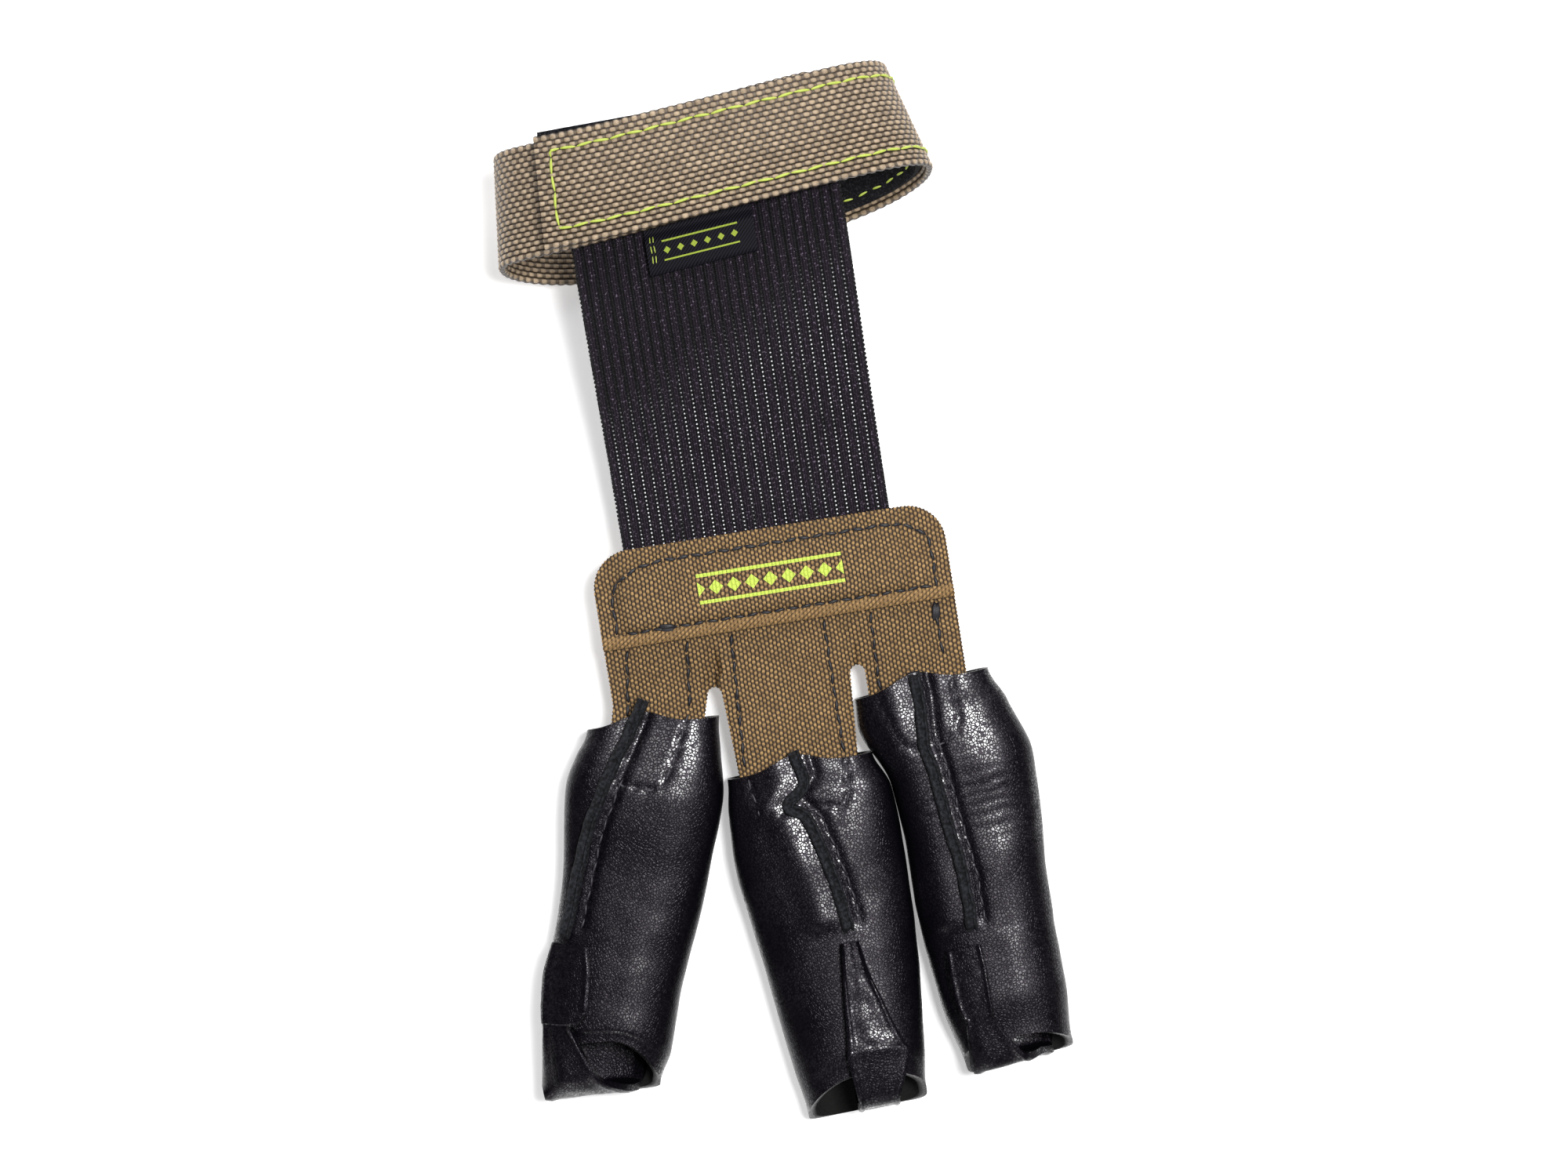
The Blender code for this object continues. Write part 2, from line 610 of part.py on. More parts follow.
def add_label():
    """The tag: its upper leaf goes under the strap, and it folds back on itself."""
    leaves = LABEL_THICK + LABEL_SLIT
    clear = ELASTIC_THICK / 2 + GAP + LABEL_THICK / 2
    out = LABEL_SHOWS - leaves / 2
    # how far out from the strap's edge, and how high over the elastic
    path = [(-LABEL_TUCK, 0), (0, 0)] + [(fold * out, leaves) for fold in LABEL_FOLDS]
    for turn in (45, 90, 135):
        angle = math.radians(turn)
        path.append((out + leaves / 2 * math.sin(angle), leaves / 2 * (1 + math.cos(angle))))
    path += [(out, 0), (LABEL_FOLDS[1] * out, 0), (LABEL_LOWER_ENDS * out, 0)]
    middle = []
    for forward, lift in path:
        line = []
        for column in range(STRIP_COLUMNS):
            x = LABEL_OFF_CENTRE + LABEL_WIDTH * (column / (STRIP_COLUMNS - 1) - 0.5)
            edge_y, _ = strap_edge(x)
            y = edge_y - forward
            base = elastic_level(x, y) if forward > 0 else strap_level(x, y) - UNDER_STRAP
            line.append(Vector((x, y, base + clear + lift)))
        middle.append(line)
    return add_strip("label_loop", "tag", middle, LABEL_THICK)


def corner(centre_x, centre_y, radius, first, last):
    """Points on an arc, from one heading to another in degrees."""
    points = []
    for step in range(CORNER_STEPS + 1):
        angle = math.radians(mix(first, last, step / CORNER_STEPS))
        points.append((centre_x + radius * math.cos(angle), centre_y + radius * math.sin(angle)))
    return points


def tab_corners(stall, left_x, right_x):
    """A tab's outline from its left edge at the mouth, down into the stall and back up."""
    spots = []
    for lengthways, fill in ((0, TAB_MOUTH_FILL), (TAB_TUCK, TAB_END_FILL)):
        section = stall.section(lengthways / stall.length)
        half_width, _ = stall.half_sizes(section, -LEATHER)
        centre = section["side"] * stall.width
        for edge, x in ((-1, left_x), (1, right_x)):
            across = (x - stall.root.x) / stall.sideways.x - centre
            across = min(edge * across, fill * half_width) * edge + centre
            spot = stall.root + stall.forward * lengthways + stall.sideways * across
            spots.append((spot.x, spot.y))
    mouth_left, mouth_right, end_left, end_right = spots
    return [mouth_left, end_left, end_right, mouth_right]


def slot_arc(centre_x):
    return corner(centre_x, -SLOT_TOP - SLOT_WIDTH / 2, SLOT_WIDTH / 2, 180, 0)


def panel_outline():
    """The panel seen from above, clockwise from its left side at the hem."""
    left = PANEL_OFF_CENTRE - PANEL_WIDTH / 2
    right = PANEL_OFF_CENTRE + PANEL_WIDTH / 2
    top = YOKE_LENGTH
    slots = [PANEL_OFF_CENTRE + place * PANEL_WIDTH for place in SLOT_PLACES]
    half_slot = SLOT_WIDTH / 2
    points = corner(left + PANEL_CORNER, top - PANEL_CORNER, PANEL_CORNER, 180, 90)
    points += corner(right - PANEL_CORNER, top - PANEL_CORNER, PANEL_CORNER, 90, 0)
    points += reversed(tab_corners(stalls["right"], slots[1] + half_slot, right))
    points += reversed(slot_arc(slots[1]))
    points += reversed(tab_corners(stalls["middle"], slots[0] + half_slot, slots[1] - half_slot))
    points += reversed(slot_arc(slots[0]))
    points += reversed(tab_corners(stalls["left"], left, slots[0] - half_slot))
    return points


def cut_sheet(outline, cell, folds=((), ())):
    """A flat sheet cut to an outline, divided by lines across and along it and at its folds."""
    builder = bmesh.new()
    builder.faces.new([builder.verts.new((x, y, 0)) for x, y in outline])
    for axis in (0, 1):
        low = min(point[axis] for point in outline)
        high = max(point[axis] for point in outline)
        normal = Vector((1 - axis, axis, 0))
        count = max(2, round((high - low) / cell))
        even = [mix(low, high, line / count) for line in range(1, count)]
        clear = [line for line in even if all(abs(line - fold) > cell / 4 for fold in folds[axis])]
        for line in sorted(clear + list(folds[axis])):
            everything = builder.verts[:] + builder.edges[:] + builder.faces[:]
            bmesh.ops.bisect_plane(builder, geom=everything, dist=CUT_TOLERANCE,
                                   plane_co=normal * line, plane_no=normal)
    return builder


def thicken(builder, lower, upper):
    """Gives a cut sheet its two faces, each at the height that its function says."""
    bottom = list(builder.verts)
    made = bmesh.ops.extrude_face_region(builder, geom=builder.faces[:])
    top = [each for each in made["geom"] if isinstance(each, bmesh.types.BMVert)]
    for vert in bottom:
        vert.co.z = lower(vert.co.x, vert.co.y)
    for vert in top:
        vert.co.z = upper(vert.co.x, vert.co.y)


def add_panel():
    """The woven panel: its tabs run on under the nail side of the three stalls."""
    builder = cut_sheet(panel_outline(), WEAVE_CELL)
    thicken(builder, lambda x, y: panel_level(x, y) - PANEL_THICK / 2,
            lambda x, y: panel_level(x, y) + PANEL_THICK / 2)
    return add_object("back_panel", "panel_cloth", builder)


def yoke_rest(x, y):
    """Height of the yoke's underside, which steps up over the end of the elastic."""
    side = abs(x) - ELASTIC_WIDTH / 2 - YOKE_EASE
    below = YOKE_LENGTH - ELASTIC_TUCK - YOKE_EASE - y
    cover = smooth_step(1 - max(side, 0) / YOKE_STEP) * smooth_step(1 - max(below, 0) / YOKE_STEP)
    return panel_level(x, y) + PANEL_THICK / 2 + GAP + cover * (ELASTIC_THICK + GAP)


def add_yoke():
    """The facing over the elastic's end, with its hem folded under to a thicker edge."""
    left = PANEL_OFF_CENTRE - PANEL_WIDTH / 2
    right = PANEL_OFF_CENTRE + PANEL_WIDTH / 2
    middle = YOKE_LENGTH - PANEL_CORNER
    outline = corner(left + PANEL_CORNER, middle, PANEL_CORNER, 180, 90)
    outline += corner(right - PANEL_CORNER, middle, PANEL_CORNER, 90, 0)
    outline += [(right, 0), (left, 0)]
    side = ELASTIC_WIDTH / 2 + YOKE_EASE
    end = YOKE_LENGTH - ELASTIC_TUCK - YOKE_EASE
    across = (-side - YOKE_STEP, -side - YOKE_STEP / 2, -side, side, side + YOKE_STEP / 2, side + YOKE_STEP)
    along = (HEM_LENGTH * HEM_EDGE, HEM_LENGTH * (1 - HEM_EDGE), HEM_LENGTH, end)
    builder = cut_sheet(outline, WEAVE_CELL, (across, along))

    def upper(x, y):
        edge = HEM_LENGTH * HEM_EDGE
        hem = smooth_step(y / edge) * smooth_step((HEM_LENGTH - y) / edge)
        return yoke_rest(x, y) + YOKE_THICK + HEM_THICK * hem

    thicken(builder, yoke_rest, upper)
    return add_object("yoke", "panel_cloth", builder)


def stand_on_origin(pieces):
    """Moves every piece so that the glove's outline is centred over the origin, on the floor."""
    corners = [vert.co for piece in pieces for vert in piece.data.vertices]
    low = Vector([min(point[axis] for point in corners) for axis in range(3)])
    high = Vector([max(point[axis] for point in corners) for axis in range(3)])
    move = Vector((-(low.x + high.x) / 2, -(low.y + high.y) / 2, -low.z))
    for piece in pieces:
        piece.location = move


for leftover in list(bpy.data.objects):
    bpy.data.objects.remove(leftover)

stalls = {name: Stall(name) for name in STALLS}
glove = [add_strap(), add_pad(), add_elastic(), add_label(), add_panel(), add_yoke()]
for each_stall in stalls.values():
    glove.append(add_stall(each_stall))
    glove.append(add_tongue(each_stall))
stand_on_origin(glove)
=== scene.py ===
import math

import bpy
import numpy as np
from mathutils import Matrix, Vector, noise


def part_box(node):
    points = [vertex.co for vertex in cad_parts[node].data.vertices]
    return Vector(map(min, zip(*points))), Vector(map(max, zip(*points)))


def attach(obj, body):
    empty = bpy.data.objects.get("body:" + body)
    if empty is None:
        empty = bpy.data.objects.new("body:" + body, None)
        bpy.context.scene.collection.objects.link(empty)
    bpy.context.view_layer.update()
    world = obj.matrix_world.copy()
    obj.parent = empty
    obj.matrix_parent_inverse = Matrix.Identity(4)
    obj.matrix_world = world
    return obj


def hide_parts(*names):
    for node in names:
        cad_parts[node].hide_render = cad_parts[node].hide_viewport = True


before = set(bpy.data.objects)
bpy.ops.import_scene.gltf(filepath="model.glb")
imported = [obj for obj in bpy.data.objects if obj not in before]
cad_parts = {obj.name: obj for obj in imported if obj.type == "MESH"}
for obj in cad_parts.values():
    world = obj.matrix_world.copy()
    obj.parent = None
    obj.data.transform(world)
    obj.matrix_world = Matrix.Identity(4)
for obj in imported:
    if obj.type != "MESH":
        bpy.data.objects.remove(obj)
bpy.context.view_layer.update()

MM = 0.001
GAP = 0.3 * MM


# Camera and studio: the glove is photographed from straight above on a white table. A small soft
# light near the camera shines on the leather, and three wide ones stand low round the table.
CAMERA_OVER = (9.08 * MM, 3.78 * MM)
CAMERA_HEIGHT = 700 * MM
CAMERA_LENS = 84.96
CAMERA_ROLL = math.radians(-9.05)
SKY = (1.0, 0.96, 1.0, 1)
SKY_STRENGTH = 0.10

bpy.ops.object.select_all(action="DESELECT")
bpy.ops.object.camera_add(location=(*CAMERA_OVER, CAMERA_HEIGHT), rotation=(0, 0, CAMERA_ROLL))
camera = bpy.context.object
camera.name = "camera"
camera.data.lens = CAMERA_LENS
camera.data.sensor_width = 36
camera.data.clip_start = 0.01
camera.data.clip_end = 20
bpy.context.scene.camera = camera
bpy.context.scene.view_settings.view_transform = "Standard"

# name, place, aimed at, size, watts
LIGHTS = (
    ("sparkle_light", (0.21, 0.05, 0.84), (0, -0.03, 0), 0.20, 8.4),
    ("wrist_left_light", (-0.42, 0.92, 0.44), (0, 0, 0), 0.70, 5.8),
    ("wrist_right_light", (0.50, 0.90, 0.44), (0, 0, 0), 0.70, 4.4),
    ("finger_side_light", (-0.30, -0.96, 0.42), (0, -0.03, 0), 0.70, 3.8),
)
for light_name, place, aim, size, watts in LIGHTS:
    turn = (Vector(aim) - Vector(place)).to_track_quat("-Z", "Y").to_euler()
    bpy.ops.object.light_add(type="AREA", location=place, rotation=turn)
    light = bpy.context.object
    light.name = light_name
    light.data.size = size
    light.data.energy = watts

world = bpy.data.worlds.new("studio")
world.use_nodes = True
background = world.node_tree.nodes["Background"].inputs
background["Color"].default_value = SKY
background["Strength"].default_value = SKY_STRENGTH
bpy.context.scene.world = world


# Shader helpers, first used by the floor: nodes are placed one by one, and an effect that several
# finishes share is a group with named inputs and outputs.
class Nodes:
    """Places nodes in a tree and joins them: a socket is linked, and any other value is set."""

    def __init__(self, tree, shader=None):
        self.tree = tree
        self.shader = shader

    def join(self, value, socket):
        if isinstance(value, bpy.types.NodeSocket):
            self.tree.links.new(value, socket)
        elif value is not None:
            socket.default_value = value

    def feed(self, socket, value):
        self.join(value, self.shader.inputs[socket])

    def add(self, kind, values=(), **settings):
        node = self.tree.nodes.new(kind)
        for key, setting in settings.items():
            setattr(node, key, setting)
        for key, value in dict(values).items():
            self.join(value, node.inputs[key])
        return node

    def math(self, operation, *values):
        node = self.add("ShaderNodeMath", operation=operation)
        for value, socket in zip(values, node.inputs):
            self.join(value, socket)
        return node.outputs[0]

    def times(self, first, second):
        return self.math("MULTIPLY", first, second)

    def plus(self, first, second):
        return self.math("ADD", first, second)

    def below(self, value, limit):
        return self.math("LESS_THAN", value, limit)

    def off(self, value, middle):
        """How far a value is from a middle one."""
        return self.math("ABSOLUTE", self.math("SUBTRACT", value, middle))

    def blend(self, share, one, other):
        node = self.add("ShaderNodeMix", data_type="RGBA")
        for value, socket in zip((share, one, other), (node.inputs[0], node.inputs[6], node.inputs[7])):
            self.join((*value, 1) if isinstance(value, tuple) else value, socket)
        return node.outputs[2]

    def ramp(self, value, low, high):
        node = self.add("ShaderNodeMapRange", {"Value": value, "From Min": low, "From Max": high},
                        interpolation_type="SMOOTHSTEP")
        return node.outputs[0]

    def split(self, vector):
        return self.add("ShaderNodeSeparateXYZ", {0: vector}).outputs

    def noise(self, vector, scale, detail=2.0):
        node = self.add("ShaderNodeTexNoise", {"Vector": vector, "Scale": scale, "Detail": detail})
        return node.outputs[0]

    def shaken(self, vector, scale, reach):
        """The vector moved a little by noise, as far as reach says along each axis."""
        node = self.add("ShaderNodeTexNoise", {"Vector": vector, "Scale": scale, "Detail": 2.0})
        return self.add("ShaderNodeVectorMath", {0: node.outputs[1], 1: reach, 2: vector},
                        operation="MULTIPLY_ADD").outputs[0]

    def raised(self, height, distance, strength):
        """Relief on the finish, from a height."""
        node = self.add("ShaderNodeBump", {"Height": height, "Distance": distance, "Strength": strength})
        self.feed("Normal", node.outputs[0])

    def spot(self, kind="Object"):
        return self.add("ShaderNodeTexCoord").outputs[kind]

    def inner(self):
        return self.add("ShaderNodeAttribute", attribute_name="inner").outputs["Fac"]


def new_group(name, inputs, outputs):
    """An empty shader group with its named sockets."""
    tree = bpy.data.node_groups.new(name, "ShaderNodeTree")
    for socket, kind in inputs:
        tree.interface.new_socket(name=socket, in_out="INPUT", socket_type=kind)
    for socket in outputs:
        tree.interface.new_socket(name=socket, in_out="OUTPUT", socket_type="NodeSocketFloat")
    nodes = Nodes(tree)
    return tree, nodes, nodes.add("NodeGroupInput"), nodes.add("NodeGroupOutput")


def new_finish(name, roughness):
    """A material with only its shader, and the helper that places nodes before it."""
    made = bpy.data.materials.new(name)
    made.use_nodes = True
    nodes = Nodes(made.node_tree, made.node_tree.nodes["Principled BSDF"])
    nodes.feed("Roughness", roughness)
    return made, nodes


# The table: a plain pale sheet, far wider than the glove.
bpy.ops.mesh.primitive_plane_add(size=6, location=(0, 0, -0.1 * MM))
floor = bpy.context.object
floor.name = "floor"
floor_finish, nodes = new_finish("white_table", 0.9)
spot = nodes.spot()
nodes.feed("Base Color", nodes.blend(nodes.noise(spot, 3.0), (0.93, 0.93, 0.93), (0.96, 0.96, 0.96)))
nodes.feed("Emission Color", (1, 1, 1, 1))
nodes.feed("Emission Strength", 0.34)
floor.data.materials.append(floor_finish)


# Wrist strap: 20 mm webbing in a coarse basket weave, wound from the elastic's edge once round the
# wrist and back over itself. Its beads are real relief, so that its edges look knotted.
STRAP_WIDTH = 20 * MM
STRAP_THICK = 1.5 * MM
PAD_THICK = 1.4 * MM
RING_WIDTH = 77.4 * MM
RING_HEIGHT = 31.5 * MM
RING_FLARE = 2.0 * MM
RING_OFF_CENTRE = 0.5 * MM
RING_TURNED = math.radians(5)
RING_LEANING = 5 * MM
RING_BOWED_LEFT = 3.4 * MM
RING_BOWED_RIGHT = 1.8 * MM
RING_FLATTENED = 0.8 * MM
RING_ROUNDNESS = 2.5
STRAP_STARTS = 24.3 * MM
STRAP_ENDS = -28.0 * MM
STRAP_SET_BACK = 1.3 * MM
LIFT_STARTS = math.radians(25)
LIFT_ENDS = math.radians(6)
SET_BACK_ENDS = math.radians(150)
SLOPE_STEP = 0.01
ELASTIC_REACH = 57 * MM
YOKE_LENGTH = 17.9 * MM
PANEL_OFF_CENTRE = 1.5 * MM

BEAD_LENGTH = 1.77 * MM
BEAD_WIDTH = 0.95 * MM
BEAD_RISE = 0.45 * MM
BEAD_STEPS = 5
LOW_BEAD = 0.5
SELVEDGE = 0.06
SELVEDGE_KNOT = 0.22 * MM
YARN_SLANT = 0.35
YARN_FINENESS = 32.0
TAN = ((0.190, 0.136, 0.082), (0.400, 0.300, 0.195))
# painted highlight on the yarns over each bead, and painted shade in the gaps between beads
TAN_GLINT = (0.62, 0.48, 0.34)
TAN_SHADED_GAPS = (0.034, 0.022, 0.013)

# the yoke's hem and middle say where the glove's own middle lies
yoke_low, yoke_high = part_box("yoke")
SET_DOWN = np.array([(yoke_low[0] + yoke_high[0]) / 2 - PANEL_OFF_CENTRE, yoke_low[1], 0.0])


def mix(one, other, share):
    return one + (other - one) * share


def smooth_step(share):
    share = np.clip(share, 0.0, 1.0)
    return share * share * (3 - 2 * share)


def signed_power(value, power):
    return np.sign(value) * np.abs(value) ** power


def points(x, y, z):
    return np.stack(np.broadcast_arrays(x, y, z), axis=-1)


def unit(vectors):
    return vectors / np.maximum(np.linalg.norm(vectors, axis=-1, keepdims=True), 1e-12)


def near(distance, width):
    """1 at no distance, fading out over the width."""
    return np.exp(-(distance / width) ** 2)


def path_lengths(path):
    """The length along a path up to each of its points."""
    return np.concatenate([[0.0], np.cumsum(np.linalg.norm(np.diff(path, axis=0), axis=1))])


def along_path(path, lengths, at):
    return np.stack([np.interp(at, lengths, places) for places in np.transpose(path)], axis=-1)


def even_path(line, count):
    """Points evenly spaced along a line of straight runs."""
    line = np.array(line, dtype=float)
    lengths = path_lengths(line)
    return along_path(line, lengths, np.linspace(0, lengths[-1], count))


def ring_place(angle, across, out):
    """Points of the wrist ring: angle runs round it, across its width, out from its middle."""
    half_width = (RING_WIDTH - STRAP_THICK) / 2 - RING_FLARE * across / (STRAP_WIDTH / 2)
    half_height = (RING_HEIGHT - STRAP_THICK) / 2
    floor_level = STRAP_THICK / 2 - RING_HEIGHT / 2

    def outline(a):
        side = half_width * signed_power(np.cos(a), 2 / RING_ROUNDNESS)
        up = half_height * signed_power(np.sin(a), 2 / RING_ROUNDNESS)
        return side, np.maximum(up - RING_FLATTENED * smooth_step(-np.sin(a)), floor_level)

    side, up = outline(angle)
    side_a, up_a = outline(angle - SLOPE_STEP)
    side_b, up_b = outline(angle + SLOPE_STEP)
    long = np.hypot(side_b - side_a, up_b - up_a)
    side = side + (up_b - up_a) / long * out
    up = up - (side_b - side_a) / long * out
    bow = np.where(side > 0, RING_BOWED_RIGHT, RING_BOWED_LEFT) * np.abs(side / half_width) ** 3
    lengthways = across + bow + RING_LEANING * up / RING_HEIGHT
    centre_y = YOKE_LENGTH + ELASTIC_REACH + STRAP_WIDTH / 2 - RING_LEANING / 2
    return points(RING_OFF_CENTRE + side * math.cos(RING_TURNED) - lengthways * math.sin(RING_TURNED),
                  centre_y + side * math.sin(RING_TURNED) + lengthways * math.cos(RING_TURNED),
                  up + RING_HEIGHT / 2)


def ring_angle(side):
    half_width = (RING_WIDTH - STRAP_THICK) / 2
    return np.arccos(signed_power(side / half_width, RING_ROUNDNESS / 2))


def overlap_lift(angle):
    """How far out the strap has moved to lie over its own first layer."""
    starts = math.tau - LIFT_STARTS
    ends = math.tau + ring_angle(STRAP_STARTS) - LIFT_ENDS
    return (STRAP_THICK + PAD_THICK + 2 * GAP) * smooth_step((angle - starts) / (ends - starts))


class RingRun:
    """A stretch of the ring, measured by its length and not by its angle."""

    def __init__(self, first, last):
        self.angles = np.linspace(first, last, 4001)
        self.lengths = path_lengths(ring_place(self.angles, 0.0, overlap_lift(self.angles)))
        self.length = self.lengths[-1]

    def angle(self, length):
        return np.interp(length, self.lengths, self.angles)


def set_back(angle):
    first = ring_angle(STRAP_STARTS)
    return STRAP_SET_BACK * smooth_step((SET_BACK_ENDS - angle) / (SET_BACK_ENDS - first))


def beads(along, across, length, width):
    """Height of a basket weave's beads, 0 in the gaps and 1 on top, each row set half a bead on."""
    row = np.floor(across / width)
    turn = np.pi * (along / length + 0.5 * (row % 2))
    crossed = np.abs(np.sin(np.pi * across / width)) ** 0.5
    return np.maximum(np.abs(np.sin(turn)) ** 0.9, LOW_BEAD * np.abs(np.cos(turn))) * crossed


def turn_out(sharpest):
    """Leaves edit mode with every face turned outward, and shades edges smooth up to an angle."""
    bpy.ops.mesh.select_all(action="SELECT")
    bpy.ops.mesh.normals_make_consistent(inside=False)
    bpy.ops.object.mode_set(mode="OBJECT")
    bpy.ops.object.shade_smooth_by_angle(angle=math.radians(sharpest))


def lay_out(name, across, along, spot, uv_size, closed=False):
    """A flat grid given two faces, whose points are then laid where the piece has them.

    spot takes shares across and along and the face, +1 or -1, and gives places."""
    bpy.ops.object.select_all(action="DESELECT")
    bpy.ops.mesh.primitive_grid_add(x_subdivisions=across, y_subdivisions=along, size=1)
    piece = bpy.context.object
    piece.name = name
    piece.data.name = name
    wall = piece.modifiers.new("wall", "SOLIDIFY")
    wall.thickness = 0.1
    wall.offset = 0
    bpy.ops.object.modifier_apply(modifier="wall")
    mesh = piece.data
    flat = np.empty(len(mesh.vertices) * 3)
    mesh.vertices.foreach_get("co", flat)
    flat = flat.reshape(-1, 3)
    u, v, face = flat[:, 0] + 0.5, flat[:, 1] + 0.5, np.sign(flat[:, 2])
    mesh.vertices.foreach_set("co", (spot(u, v, face) + SET_DOWN).ravel())
    corners = np.empty(len(mesh.loops), dtype=np.int32)
    mesh.loops.foreach_get("vertex_index", corners)
    uv = np.stack([u[corners] * uv_size[0], v[corners] * uv_size[1]], axis=-1)
    mesh.uv_layers[0].data.foreach_set("uv", uv.ravel())
    mesh.attributes.new("inner", "FLOAT", "POINT").data.foreach_set("value", (face < 0).astype(float))
    bpy.ops.object.mode_set(mode="EDIT")
    if closed:
        bpy.ops.mesh.select_all(action="DESELECT")
        bpy.ops.object.mode_set(mode="OBJECT")
        for polygon in mesh.polygons:
            ends = [u[index] for index in polygon.vertices]
            polygon.select = max(ends) < 1e-5 or min(ends) > 1 - 1e-5
        bpy.ops.object.mode_set(mode="EDIT")
        bpy.ops.mesh.delete(type="FACE")
        bpy.ops.mesh.select_all(action="SELECT")
        bpy.ops.mesh.remove_doubles(threshold=0.001 * MM)
    turn_out(60)
    return piece


def two_faced(middle, thick, relief):
    """Spots for a sheet: its middle surface, moved out both ways by its thickness and relief."""
    def spot(u, v, face):
        step = 0.001
        run = middle(np.minimum(u + step, 1), v) - middle(np.maximum(u - step, 0), v)
        rise = middle(u, np.minimum(v + step, 1)) - middle(u, np.maximum(v - step, 0))
        normal = unit(np.cross(run, rise))
        out = face * (thick / 2 + relief(u, v, face))
        return middle(u, v) + normal * out[:, None]
    return spot


strap_run = RingRun(ring_angle(STRAP_STARTS), math.tau + ring_angle(STRAP_ENDS))


def strap_middle(u, v):
    angle = strap_run.angle(v * strap_run.length)
    across = (u - 0.5) * STRAP_WIDTH
    knots = SELVEDGE_KNOT * np.abs(np.sin(np.pi * v * strap_run.length / BEAD_LENGTH))
    across = across + np.sign(across) * knots * smooth_step((np.abs(u - 0.5) - 0.5) / SELVEDGE + 1)
    return ring_place(angle, across + set_back(angle), overlap_lift(angle))


def strap_relief(u, v, face):
    along = v * strap_run.length + np.where(face > 0, 0, BEAD_LENGTH / 2)
    return BEAD_RISE * (beads(along, u * STRAP_WIDTH, BEAD_LENGTH, BEAD_WIDTH) - 1.0)


strap_across = round(STRAP_WIDTH / BEAD_WIDTH) * 3
strap_along = round(strap_run.length / BEAD_LENGTH * BEAD_STEPS)
strap = lay_out("strap_webbing", strap_across, strap_along,
                two_faced(strap_middle, STRAP_THICK, strap_relief), (STRAP_WIDTH, strap_run.length))

weave, nodes, given, result = new_group(
    "woven_yarn", (("Vector", "NodeSocketVector"), ("Pitch Along", "NodeSocketFloat"),
                   ("Pitch Across", "NodeSocketFloat")), ("Height", "Yarn"))
# a basket weave's beads, and the fine yarns that run over each bead
axes = nodes.split(given.outputs["Vector"])
across = nodes.math("DIVIDE", axes[0], given.outputs["Pitch Across"])
along = nodes.math("DIVIDE", axes[1], given.outputs["Pitch Along"])
odd_row = nodes.math("MODULO", nodes.math("ABSOLUTE", nodes.math("FLOOR", across)), 2.0)
turn = nodes.times(nodes.plus(along, nodes.times(odd_row, 0.5)), math.pi)
high = nodes.math("POWER", nodes.math("ABSOLUTE", nodes.math("SINE", turn)), 0.9)
low = nodes.times(nodes.math("ABSOLUTE", nodes.math("COSINE", turn)), LOW_BEAD)
crossed = nodes.math("ABSOLUTE", nodes.math("SINE", nodes.times(across, math.pi)))
bead = nodes.times(nodes.math("MAXIMUM", high, low), nodes.math("POWER", crossed, 0.5))
yarn = nodes.math("SINE", nodes.times(nodes.plus(across, nodes.times(along, YARN_SLANT)), YARN_FINENESS))
nodes.join(bead, result.inputs["Height"])
nodes.join(nodes.math("MULTIPLY_ADD", yarn, 0.5, 0.5), result.inputs["Yarn"])


def woven(nodes, vector, pitch_along, pitch_across):
    """Places the weave's group: gives the height of its beads, and the yarns over them."""
    pitches = {"Vector": vector, "Pitch Along": pitch_along, "Pitch Across": pitch_across}
    group = nodes.add("ShaderNodeGroup", pitches, node_tree=weave)
    return group.outputs["Height"], group.outputs["Yarn"]


webbing, nodes = new_finish("tan_webbing", 0.42)
bead, yarn = woven(nodes, nodes.spot("UV"), BEAD_LENGTH, BEAD_WIDTH)
tan = nodes.blend(nodes.ramp(nodes.noise(nodes.spot(), 620.0, 3.0), 0.3, 0.7), *TAN)
# painted highlight: the yarns over each bead are lightened
tan = nodes.blend(nodes.times(yarn, 0.45), tan, TAN_GLINT)
# painted shade: the webbing is darkened in the gaps between its beads and kept lighter on their tops
nodes.feed("Base Color", nodes.blend(nodes.ramp(bead, 0.28, 0.84), TAN_SHADED_GAPS, tan))
nodes.raised(nodes.math("MULTIPLY_ADD", yarn, 0.12, bead), 0.30 * MM, 0.8)
strap.data.materials.append(webbing)
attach(strap, "root")
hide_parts("wrist_strap")


# Threads: each seam is a row of short stitches that dip into the stuff at both ends.
bpy.ops.object.select_all(action="DESELECT")
bpy.ops.mesh.primitive_uv_sphere_add(segments=8, ring_count=6, radius=1, rotation=(0, math.pi / 2, 0))
pattern = bpy.context.object
bpy.ops.object.transform_apply(location=False, rotation=True, scale=False)
STITCH_SPOTS = np.array([vertex.co[:] for vertex in pattern.data.vertices])
STITCH_FACES = [tuple(polygon.vertices) for polygon in pattern.data.polygons]
THREAD_STEP = 0.2 * MM
STITCH_DIPS = 0.9
STITCH_STANDS = 0.35
STITCH_SLANTS = 0.5
bpy.data.objects.remove(pattern)


